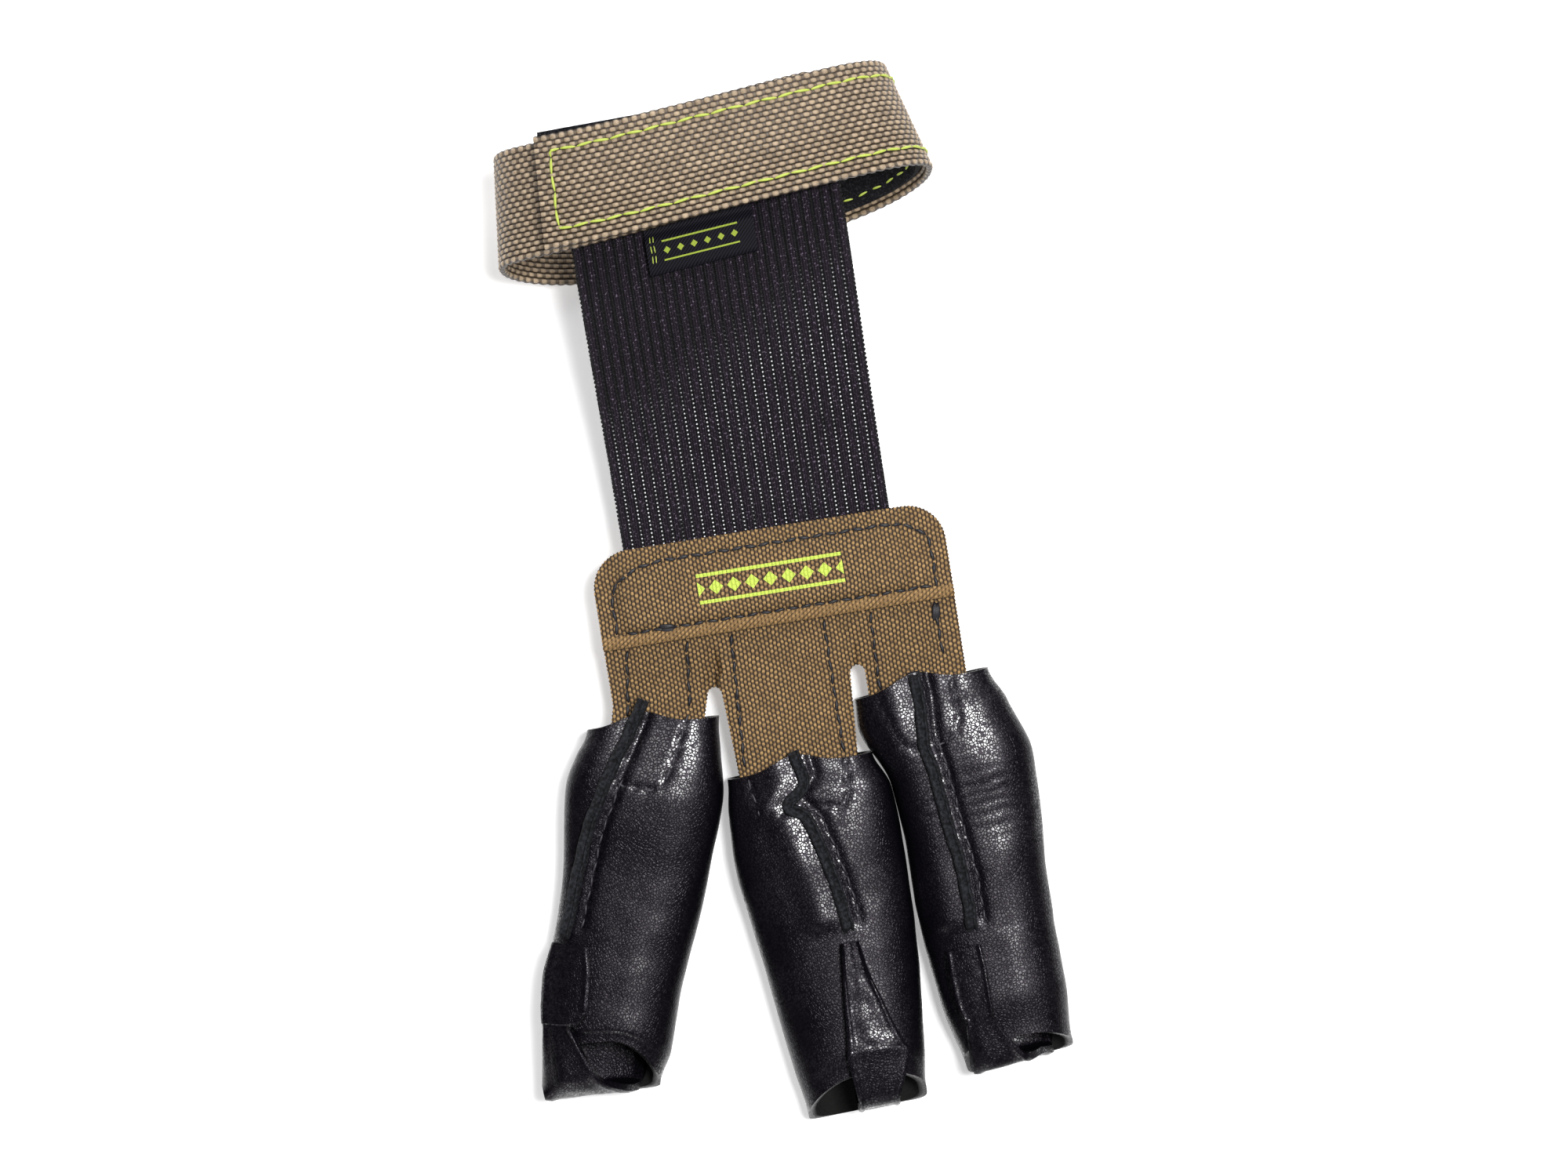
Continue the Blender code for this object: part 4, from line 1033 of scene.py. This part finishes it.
panel_left = PANEL_OFF_CENTRE - PANEL_WIDTH / 2
panel_right = PANEL_OFF_CENTRE + PANEL_WIDTH / 2
slots = [PANEL_OFF_CENTRE + place * PANEL_WIDTH for place in SLOT_PLACES]
half_slot = SLOT_WIDTH / 2
rounded = arc(panel_left + PANEL_CORNER, YOKE_LENGTH - PANEL_CORNER, PANEL_CORNER, 180, 90)
rounded += arc(panel_right - PANEL_CORNER, YOKE_LENGTH - PANEL_CORNER, PANEL_CORNER, 90, 0)
panel_outline = rounded + tab_corners(stalls["right"], slots[1] + half_slot, panel_right)[::-1]
panel_outline += slot_arc(slots[1])[::-1]
panel_outline += tab_corners(stalls["middle"], slots[0] + half_slot, slots[1] - half_slot)[::-1]
panel_outline += slot_arc(slots[0])[::-1]
panel_outline += tab_corners(stalls["left"], panel_left, slots[0] - half_slot)[::-1]
panel = cut_cloth("brown_panel", panel_outline, lambda x, y: panel_level(x, y) - PANEL_THICK / 2,
                  lambda x, y: panel_level(x, y) + PANEL_THICK / 2)


def yoke_rest(x, y):
    side = np.abs(x) - ELASTIC_WIDTH / 2 - YOKE_EASE
    below = YOKE_LENGTH - ELASTIC_TUCK - YOKE_EASE - y
    cover = smooth_step(1 - np.maximum(side, 0) / YOKE_STEP)
    cover = cover * smooth_step(1 - np.maximum(below, 0) / YOKE_STEP)
    return panel_level(x, y) + PANEL_THICK / 2 + GAP + cover * (ELASTIC_THICK + GAP)


# the yoke's seam: an arch along its upper edge and a straight row above the hem
SEAM_SIDE = 3.0 * MM
SEAM_TOP = 2.9 * MM
SEAM_LOW = 2.5 * MM
SEAM_CORNERS = ((11 * MM, 6 * MM), (8 * MM, 5 * MM))
SEAM_DEEP = 0.28 * MM
SEAM_PULLS = 0.9 * MM
seam_left, seam_right = panel_left + SEAM_SIDE, panel_right - SEAM_SIDE
seam_top = YOKE_LENGTH - SEAM_TOP
arch = []
quarter = [math.radians(90 * step / 12) for step in range(13)]
for edge, way, (wide, tall) in ((seam_left, 1, SEAM_CORNERS[0]), (seam_right, -1, SEAM_CORNERS[1])):
    for a in quarter[::way]:
        arch.append((edge + way * wide * (1 - math.cos(a)), seam_top - tall * (1 - math.sin(a))))
yoke_seam = np.array([(seam_left, SEAM_LOW)] + arch + [(seam_right, SEAM_LOW), (seam_left, SEAM_LOW)])


def from_line(x, y, line):
    """Distance from each point to a line of straight runs."""
    nearest = np.full(np.shape(x), 9.0)
    for (ax, ay), (bx, by) in zip(line, line[1:]):
        run = np.array([bx - ax, by - ay])
        part = np.clip(((x - ax) * run[0] + (y - ay) * run[1]) / (run @ run), 0, 1)
        nearest = np.minimum(nearest, np.hypot(x - ax - part * run[0], y - ay - part * run[1]))
    return nearest


def yoke_face(x, y):
    hem_edge = HEM_LENGTH * HEM_EDGE
    hem = smooth_step(y / hem_edge) * smooth_step((HEM_LENGTH - y) / hem_edge)
    pulled = SEAM_DEEP * near(from_line(x, y, yoke_seam), SEAM_PULLS)
    return yoke_rest(x, y) + YOKE_THICK + HEM_THICK * hem - pulled


yoke_outline = rounded + [(panel_right, 0.0), (panel_left, 0.0)]
yoke = cut_cloth("brown_yoke", yoke_outline, yoke_rest, yoke_face)


def cloth_finish(name, printed):
    """Brown coarse nylon, on the yoke with a plain printed band of lozenges between two lines."""
    made, nodes = new_finish(name, 0.72)
    spot = nodes.spot()
    bead, yarn = woven(nodes, nodes.shaken(spot, 260.0, CLOTH_WANDER), YARN_PITCH, YARN_ROW)
    brown = nodes.blend(nodes.ramp(nodes.noise(spot, 900.0), 0.3, 0.7), *BROWN)
    # painted highlight on the yarns over each bead, and painted shade darkening the gaps between beads
    brown = nodes.blend(nodes.times(yarn, 0.35), brown, BROWN_GLINT)
    gaps = nodes.blend(nodes.noise(spot, 60.0), *BROWN_SHADED_GAPS)
    colour = nodes.blend(nodes.ramp(bead, 0.32, 0.86), gaps, brown)
    if printed:
        level = nodes.split(spot)
        # on the hem: a lighter band with dark diagonal lines of painted shade, where a twisted fold would
        # have its grooves
        on_hem = nodes.math("COMPARE", level[1], SET_DOWN[1] + HEM_LENGTH / 2, HEM_LENGTH / 2)
        twist = nodes.math("PINGPONG", nodes.math("MULTIPLY_ADD", level[1], -1.4, level[0]), HEM_TWIST / 2)
        shaded_rope = nodes.blend(nodes.ramp(twist, 0, HEM_TWIST * 0.3), *HEM_SHADED_ROPE)
        colour = nodes.blend(nodes.times(on_hem, 0.45), colour, shaded_rope)
        centre = nodes.add("ShaderNodeMapping", {"Vector": spot}, vector_type="TEXTURE")
        nodes.join((SET_DOWN[0] + PRINT_AT[0], SET_DOWN[1] + PRINT_AT[1], 0), centre.inputs["Location"])
        axes = nodes.split(centre.outputs[0])
        band = lozenge_band(nodes, axes[0], nodes.math("ABSOLUTE", axes[1]), **PRINT_BAND)
        printed_on = nodes.times(band, nodes.ramp(bead, 0.02, 0.22))
        colour = nodes.blend(printed_on, colour, PRINT_LIME)
    nodes.feed("Base Color", colour)
    nodes.raised(bead, 0.30 * MM, 0.9)
    return made


panel.data.materials.append(cloth_finish("brown_cloth", False))
yoke.data.materials.append(cloth_finish("brown_cloth_printed", True))
for piece, node in ((panel, "back_panel"), (yoke, "yoke")):
    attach(piece, "root")
    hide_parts(node)


def flat_row(line, height, count):
    """A row of thread on a sheet that lies about level."""
    x, y = even_path(line, count).T
    return points(x, y, height(x, y)), np.tile([0.0, 0.0, 1.0], (count, 1))


def panel_face(x, y):
    return panel_level(x, y) + PANEL_THICK / 2


sew("yoke_thread", [flat_row(yoke_seam, yoke_face, 400)], 2.5 * MM, 0.02 * MM, 0.36 * MM,
    black_thread)
# rows that hold the tabs to the stalls: x at the hem, then x and y at the stall's mouth
TAB_SEAMS = (
    (-27.3, -29.4, -14.6), (-16.0, -17.5, -13.4), (-7.7, -9.2, -27.4),
    (9.7, 9.6, -26.6), (18.5, 18.1, -15.4), (30.5, 30.8, -12.8),
)
tab_rows = []
for hem_x, mouth_x, mouth_y in TAB_SEAMS:
    line = ((hem_x * MM, -0.4 * MM), (mouth_x * MM, mouth_y * MM))
    tab_rows.append(flat_row(line, panel_face, 60))
sew("tab_thread", tab_rows, 2.4 * MM, 0.15 * MM, 0.33 * MM, black_thread)
# the knots where the thread starts and ends: two short rows sewn over each other
knot_rows = []
for aside in (-0.35, 0.0, 0.35):
    hem_knot = ((-21.0, 2.5 + aside), (-17.4, 2.5 + aside))
    tab_knot = ((30.6 + aside, -4.2), (30.6 + aside, 0.0))
    for line, face in ((hem_knot, yoke_face), (tab_knot, panel_face)):
        knot_rows.append(flat_row(np.array(line) * MM, face, 12))
sew("knot_thread", knot_rows, 3.6 * MM, 0.1 * MM, 0.48 * MM, black_thread)


# Finger stalls: black pebbled leather tubes, open at both ends, sewn round the tabs near the mouth
# and closed on the nail side by a raised seam of two raw edges.
# U_SEAMS are the rows that hold each tab, and SEAMS the raised seam, in mm along and to the side.
U_SEAMS = {
    "left": ((0.0, 7.6), (8.6, 5.9), (14.4, 4.1), (15.0, 0.5), (14.4, -3.2), (13.4, -6.1)),
    "middle": ((0.5, -10.7), (8.1, -9.7), (8.3, -5.5), (8.2, 1.0), (9.0, 6.0), (6.8, 7.2), (0.0, 7.9)),
    "right": ((0.8, -10.1), (4.6, -9.4), (10.4, -7.9), (12.3, -5.4), (11.7, -1.4), (10.6, 2.2),
              (8.0, 3.4), (0.0, 3.8)),
}
SEAMS = {
    "left": ((-1.8, -0.9), (5.3, -3.1), (13.2, -6.0), (23.4, -8.7), (33.7, -9.9), (41.2, -10.7),
             (44.2, -11.4)),
    "middle": ((-3.0, -1.5), (3.1, -0.6), (6.8, -4.0), (9.7, -1.2), (16.6, 0.4), (24.3, 1.8), (31.9, 2.4)),
    "right": ((-2.6, -2.9), (3.8, -3.1), (11.0, -4.1), (15.6, -3.6), (26.1, -3.3), (36.7, -2.8),
              (46.9, -3.6)),
}
AROUND = 132
ALONG = 120
MOUTH_RISE = 2.4 * MM
MOUTH_HALF = 5 * MM
HOLD_STITCH = 2.8 * MM
HOLD_DEEP = 0.34 * MM
HOLD_PULLS = 0.6 * MM
SEWN_FADES = 3 * MM
# how deep, how far beside the raised seam, and how wide: the groove right of it and the swell left of it
SEAM_GROOVE = (0.50 * MM, 2.5 * MM, 0.8 * MM)
SEAM_SWELL = (0.70 * MM, -4.5 * MM, 3.0 * MM)
SEAM_PUCKER = (0.06 * MM, 2.3 * MM, 1.0 * MM)
PUCKER_LENGTH = 0.42 * MM
WRINKLES = ((0.42 * MM, 50), (0.07 * MM, 230))
CREASE_DEEP = 0.05 * MM
CREASE_LENGTH = 0.33 * MM
CREASED = (0.30, 0.12)
WALL_STEP = 0.1 * MM
FLOOR_FLAT = 1.2 * MM
FLOOR_CLEAR = 0.05 * MM
GRAIN_WANDER = (0.45 * MM, 0.45 * MM, 0.45 * MM)
COAT_LEAST = 0.35
COAT_ROUGHNESS = 0.24
HIDE = ((0.0012, 0.0009, 0.0018), (0.0028, 0.0022, 0.0040))
# painted shade in the creases between pebbles
HIDE_SHADED_CREASES = (0.0006, 0.0005, 0.0009)
FLESH = ((0.005, 0.006, 0.005), (0.011, 0.012, 0.010))

grain, nodes, given, result = new_group(
    "leather_grain", (("Vector", "NodeSocketVector"), ("Pebble", "NodeSocketFloat")), ("Height", "Wear"))
# pebbles of uneven size with creases between them, and soft worn patches
hide = given.outputs["Vector"]
cells = nodes.add("ShaderNodeTexVoronoi", {"Vector": nodes.shaken(hide, 900.0, GRAIN_WANDER)},
                  feature="DISTANCE_TO_EDGE")
nodes.join(nodes.math("DIVIDE", 1.0, given.outputs["Pebble"]), cells.inputs["Scale"])
pebble = nodes.ramp(cells.outputs["Distance"], 0.0, 0.30)
nodes.join(nodes.math("MULTIPLY_ADD", nodes.noise(hide, 4200.0), 0.25, pebble), result.inputs["Height"])
nodes.join(nodes.noise(hide, 70.0, 3.0), result.inputs["Wear"])


def leather_finish(name, pebble_size, roughness):
    """Pebbled hide under a gloss that is worn in patches, and dull on its inner face."""
    made, nodes = new_finish(name, roughness)
    spot = nodes.spot()
    hide = nodes.add("ShaderNodeGroup", {"Vector": spot, "Pebble": pebble_size}, node_tree=grain).outputs
    inside = nodes.inner()
    outer = nodes.blend(hide["Wear"], *HIDE)
    # painted shade: the hide is darkened in the creases between its pebbles
    outer = nodes.blend(nodes.ramp(hide["Height"], 0.0, 0.5), HIDE_SHADED_CREASES, outer)
    flesh = nodes.blend(nodes.noise(spot, 1500.0, 3.0), *FLESH)
    nodes.feed("Base Color", nodes.blend(inside, outer, flesh))
    worn = nodes.math("MULTIPLY_ADD", hide["Wear"], 0.20, roughness - 0.10)
    nodes.feed("Roughness", nodes.math("MAXIMUM", worn, nodes.times(inside, 0.9)))
    glossy = nodes.times(nodes.ramp(hide["Height"], 0.45, 1.0), nodes.math("SUBTRACT", 1.0, inside))
    rubbed = nodes.ramp(hide["Wear"], 0.42, 0.58)
    polished = nodes.math("MULTIPLY_ADD", rubbed, 1 - COAT_LEAST, COAT_LEAST)
    nodes.feed("Coat Weight", nodes.times(glossy, polished))
    nodes.feed("Coat Roughness", COAT_ROUGHNESS)
    nodes.raised(hide["Height"], 0.055 * MM, 0.65)
    nodes.feed("Specular IOR Level", 0.15)
    nodes.feed("Specular Tint", (0.94, 0.84, 1.0, 1))
    return made


black_leather = leather_finish("black_leather", 0.55 * MM, 0.36)

suede, nodes = new_finish("raw_leather_edge", 0.85)
spot = nodes.spot()
fibres = nodes.noise(spot, 1600.0, 4.0)
nodes.feed("Base Color", nodes.blend(nodes.ramp(fibres, 0.35, 0.7),
                                     (0.003, 0.0032, 0.004), (0.020, 0.021, 0.026)))
nodes.raised(fibres, 0.18 * MM, 0.9)
nodes.feed("Specular IOR Level", 0.2)


def leather_lift(stall, share, along, sideways, height):
    """How far the tube's leather is moved out at each spot, by its wrinkles and its seams."""
    def beside_seam(shape):
        deep, beside, wide = shape
        return deep * sewn * near(off_seam - beside, wide)

    seam = np.array(SEAMS[stall.name]) * MM
    off_seam = sideways - np.interp(along, seam[:, 0], seam[:, 1])
    sewn = smooth_step((seam[-1, 0] - along) / SEWN_FADES)
    # the sewn rows pull the leather in, and the raised seam puckers it
    dimples = 0.6 + 0.4 * np.cos(math.tau * (along + sideways) / HOLD_STITCH)
    held = near(from_line(along, sideways, np.array(U_SEAMS[stall.name]) * MM), HOLD_PULLS)
    pulled = HOLD_DEEP * dimples * held + beside_seam(SEAM_GROOVE) - beside_seam(SEAM_SWELL)
    spots = points(along, sideways, height + stall.root[0])
    wrinkle = sum(deep * fuzz(spots, scale) for deep, scale in WRINKLES)
    middle, wide = CREASED
    creased = CREASE_DEEP * near(share - middle, wide) if stall.name == "right" else 0.0
    crease = creased * np.sin(along / CREASE_LENGTH + 3 * fuzz(spots, 220))
    puckers = beside_seam(SEAM_PUCKER) * np.sin(along / PUCKER_LENGTH)
    upper = upper_side(stall, share, height)
    return (wrinkle + (crease + puckers - pulled) * upper) * smooth_step(height / FLOOR_FLAT)


def upper_side(stall, share, height):
    """1 on the nail side of a section, 0 on its lower half."""
    return smooth_step((height / (stall.read(share)["height"] * stall.height) - 0.55) / 0.3)


def tube_spots(stall):
    """Spots of the leather tube, spread evenly round each section."""
    mouth_seam = SEAMS[stall.name][0][1] * MM
    dense = np.linspace(-math.pi / 2, 1.5 * math.pi, 1441)

    def section(share, outward):
        return np.stack(stall.wall(np.full(len(dense), share), dense, outward), axis=-1)

    def spot(u, v, face):
        placed = np.zeros((len(u), 3))
        for share in np.unique(v):
            here = np.nonzero(v == share)[0]
            for way in (1, -1):
                chosen = here[face[here] == way]
                outward, lowest = (0.0, FLOOR_CLEAR) if way > 0 else (-LEATHER, LEATHER)
                shares = np.full(len(chosen), share)
                ring = section(share, outward)
                lengths = path_lengths(ring)
                at = u[chosen] * lengths[-1]
                flat = along_path(ring, lengths, at)
                side, height = flat.T
                sideways = side + stall.read(share)["side"] * stall.width
                along, _ = stall.locate(*stall.put(shares, side, height).T[:2])
                upper = upper_side(stall, share, height)
                out = unit(along_path(section(share, outward + WALL_STEP), lengths, at) - flat)
                side, height = (flat + out * leather_lift(stall, share, along, sideways, height)[:, None]).T
                mouth = near(sideways - mouth_seam, MOUTH_HALF) * (1 - share) ** 8
                raised = MOUTH_RISE * upper * mouth
                spots = stall.put(shares, side, np.maximum(height, lowest))
                placed[chosen] = spots - raised[:, None] * stall.forward
        return placed
    return spot


def curve_through(rows, at):
    """Places on a smooth curve through the rows, at whole and part row numbers."""
    rows = np.asarray(rows, dtype=float)
    index = np.clip(np.floor(at).astype(int), 0, len(rows) - 2)
    t = (at - index).reshape(-1, *([1] * (rows.ndim - 1)))
    before = rows[np.maximum(index - 1, 0)]
    here, there = rows[index], rows[index + 1]
    after = rows[np.minimum(index + 2, len(rows) - 1)]
    return (here + (there - before) * 0.5 * t + (before - 2.5 * here + 2 * there - 0.5 * after) * t ** 2
            + (1.5 * (here - there) + 0.5 * (after - before)) * t ** 3)


RIDGE_HALF = 1.12 * MM
RIDGE_TALL = 2.2 * MM
RIDGE_UNEVEN = 0.35 * MM
RIDGE_ENDS = 0.03
RIDGE_LOW_END = 0.25
RIDGE_RAGGED = 0.16 * MM
RIDGE_WAVED = 0.22 * MM
RIDGE_GROOVE = 0.75 * MM
RIDGE_SUNK = 0.5 * MM
RIDGE_STEP = 0.5 * MM
STALL_THREAD_SUNK = 0.22 * MM
STALL_THREAD_BESIDE = 2.6


def seam_ridge(stall):
    """The raised seam: two raw edges side by side that stand up from the nail side."""
    seam = np.array(SEAMS[stall.name]) * MM
    rows = curve_through(seam, np.linspace(0, len(seam) - 1, 200))
    lengths = path_lengths(rows)
    long = lengths[-1]

    def on_seam(at):
        return stall.over(*along_path(rows, lengths, at).T, 0.0)

    def spot(u, v, face):
        at = v * long
        ahead = unit(on_seam(at + RIDGE_STEP) - on_seam(at - RIDGE_STEP))
        beside = along_path(rows, lengths, at)[:, 1] / (stall.width / 2)
        up = unit(np.array([0, 0, 1.0]) + stall.sideways * beside[:, None] * 0.5)
        across = np.cross(ahead, up)
        turn = np.pi * u
        waved = RIDGE_WAVED * fuzz(points(at, long, 0.0), 300)
        ragged = RIDGE_RAGGED * fuzz(points(at, u * 3 * MM, long), 1300)
        ends = smooth_step(v / RIDGE_ENDS) * smooth_step((1 - v) / RIDGE_ENDS)
        tall = RIDGE_TALL + RIDGE_UNEVEN * fuzz(points(at, 0.0, long), 260)
        tall = tall * mix(RIDGE_LOW_END, 1, ends) + ragged
        side = -RIDGE_HALF * signed_power(np.cos(turn), 0.6)
        rise = tall * signed_power(np.sin(turn), 0.4) - RIDGE_GROOVE * near(u - 0.45, 0.07) - RIDGE_SUNK
        inner = face < 0
        side = np.where(inner, side * 0.3, side) + waved
        rise = np.where(inner, rise * 0.1 - RIDGE_SUNK, rise)
        return on_seam(at) + across * side[:, None] + up * rise[:, None]

    return lay_out(stall.name + "_seam_ridge", 26, 150, spot, (6 * MM, long))


def stall_row(stall, line, count):
    """A row of thread over a stall's nail side, from lengths along and to the side."""
    along, beside = even_path(np.array(line) * MM, count).T
    return stall.over(along, beside, -STALL_THREAD_SUNK), np.tile([0.0, 0.0, 1.0], (count, 1))


for stall in stalls.values():
    tube = lay_out(stall.name + "_leather_stall", AROUND, ALONG, tube_spots(stall),
                   (80 * MM, stall.length), closed=True)
    tube.data.materials.append(black_leather)
    ridge = seam_ridge(stall)
    ridge.data.materials.append(suede)
    for piece in (tube, ridge):
        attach(piece, "root")
        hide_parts(stall.name + "_finger_stall")
    seam_line = [(along, beside + STALL_THREAD_BESIDE) for along, beside in SEAMS[stall.name][2:]]
    stall_rows = [stall_row(stall, line, 120) for line in (U_SEAMS[stall.name], seam_line)]
    sew(stall.name + "_stall_thread", stall_rows, 2.1 * MM, 0.6 * MM, 0.25 * MM,
        seam_thread)


# Tip tongues: a leather strip from inside each fingertip, up round its end and back over the nail
# side, where it covers the end of the raised seam.
CURL_DEPTH = 4 * MM
RIDGE_UNDER = 2.6 * MM * 0.12
TONGUE_LIFT = RIDGE_UNDER + 2 * GAP + LEATHER / 2
TONGUE_UV = (12 * MM, 45 * MM)
TONGUE_UNEVEN = 0.10 * MM
TONGUE_THINNED = 0.12 * MM
TONGUE_EDGE = 0.28 * MM
EDGE_AT = (0.07, 0.93)
EDGE_HALF = 0.05
TONGUES = {
    "left": {"along": (0.63, 0.71, 0.83, 0.92),
             "left": (-0.86, -0.90, -0.88, -0.84),
             "right": (-0.42, -0.30, -0.28, -0.46),
             "lip": (-0.98, -0.48),
             "foot": (-0.93, 0.90),
             "wrap": 1.0},
    "middle": {"along": (0.505, 0.60, 0.76, 0.90),
               "left": (0.04, -0.02, -0.10, -0.16),
               "right": (0.24, 0.30, 0.50, 0.68),
               "lip": (-0.17, 0.74),
               "foot": (-0.24, 0.63),
               "wrap": 0.0},
    "right": {"along": (0.685, 0.76, 0.86, 0.93),
              "left": (-0.62, -0.66, -0.68, -0.66),
              "right": (-0.16, -0.16, -0.20, -0.24),
              "lip": (-0.88, -0.26),
              "foot": (-0.93, 0.88),
              "wrap": 1.0},
}
# share of the way from the lip to the foot, height, share of the tip's slant, depth, share of the wrap
CURL = ((0.30, 1.087, 0.45, 0.00, 1.0), (0.60, 0.80, 0.00, 0.55, 1.0), (0.80, 0.43, 0.00, 0.35, 0.8),
        (0.95, 0.14, 0.00, 0.45, 0.0), (1.00, 0.00, 0.00, 1.00, 0.0), (1.00, 0.00, 0.00, 3.00, 0.0))
TONGUE_COLUMNS = 9


def tongue_rows(stall):
    """The tongue's middle surface, a row of points at each place from its sewn end to its foot."""
    table = TONGUES[stall.name]
    across = np.linspace(0, 1, TONGUE_COLUMNS)
    rows = []
    for along in np.linspace(table["along"][0], table["along"][-1], 10):
        left = np.interp(along, table["along"], table["left"])
        right = np.interp(along, table["along"], table["right"])
        share = mix(left, right, across)
        row = stall.read(along)
        angle = np.arccos(signed_power(share, row["square"] / 2))
        side, height = stall.wall(np.full(TONGUE_COLUMNS, along), angle, TONGUE_LIFT)
        rows.append(stall.put(np.full(TONGUE_COLUMNS, along), side, height))
    end = stall.read(1.0)
    tall = end["height"] * stall.height
    low = LEATHER + GAP + LEATHER / 2
    half_width = end["width"] * stall.width / 2
    for down, high, lip, depth, wide in CURL:
        room = half_width - low * (1 - wide * table["wrap"])
        side = mix(mix(*table["lip"], across), mix(*table["foot"], across), down) * room
        palm_wall = tall / 2 - (tall / 2 - low) * bulge(side / room, UNDERSIDE_SQUARE)
        height = np.maximum(mix(low, tall, high), palm_wall)
        if lip:
            nail_wall = tall / 2 + (tall / 2 + TONGUE_LIFT) * bulge(side / half_width, end["square"])
            height = np.minimum(height, nail_wall)
        back = lip * end["rake"] * stall.length + depth * CURL_DEPTH
        shift = end["lean"] * stall.length * (1 - side / half_width) / 2
        sideways = side + end["side"] * stall.width
        spot = stall.root + (stall.length - back + shift)[:, None] * stall.forward
        spot += sideways[:, None] * stall.sideways
        spot[:, 2] = height
        rows.append(spot)
    return np.array(rows)


def tongue_middle(stall):
    rows = tongue_rows(stall)

    def middle(u, v):
        placed = np.empty((len(u), 3))
        for share in np.unique(v):
            chosen = v == share
            line = curve_through(rows, np.array([share * (len(rows) - 1)]))[0]
            at = u[chosen] * (TONGUE_COLUMNS - 1)
            placed[chosen] = along_path(line, np.arange(TONGUE_COLUMNS), at)
        return placed
    return middle


def tongue_relief(stall):
    def relief(u, v, face):
        places = points(u * TONGUE_UV[0], v * TONGUE_UV[1], stall.length * 3)
        folds = sum(near(u - at, EDGE_HALF) for at in EDGE_AT)
        return TONGUE_UNEVEN * fuzz(places, 300) - TONGUE_THINNED + TONGUE_EDGE * folds * (face < 0)
    return relief


for stall in stalls.values():
    sheet = two_faced(tongue_middle(stall), LEATHER, tongue_relief(stall))
    tongue = lay_out(stall.name + "_leather_tongue", 28, 130, sheet, TONGUE_UV)
    tongue.data.attributes["inner"].data.foreach_set("value", np.zeros(len(tongue.data.vertices)))
    tongue.data.materials.append(black_leather)
    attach(tongue, "root")
    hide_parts(stall.name + "_tip_tongue")
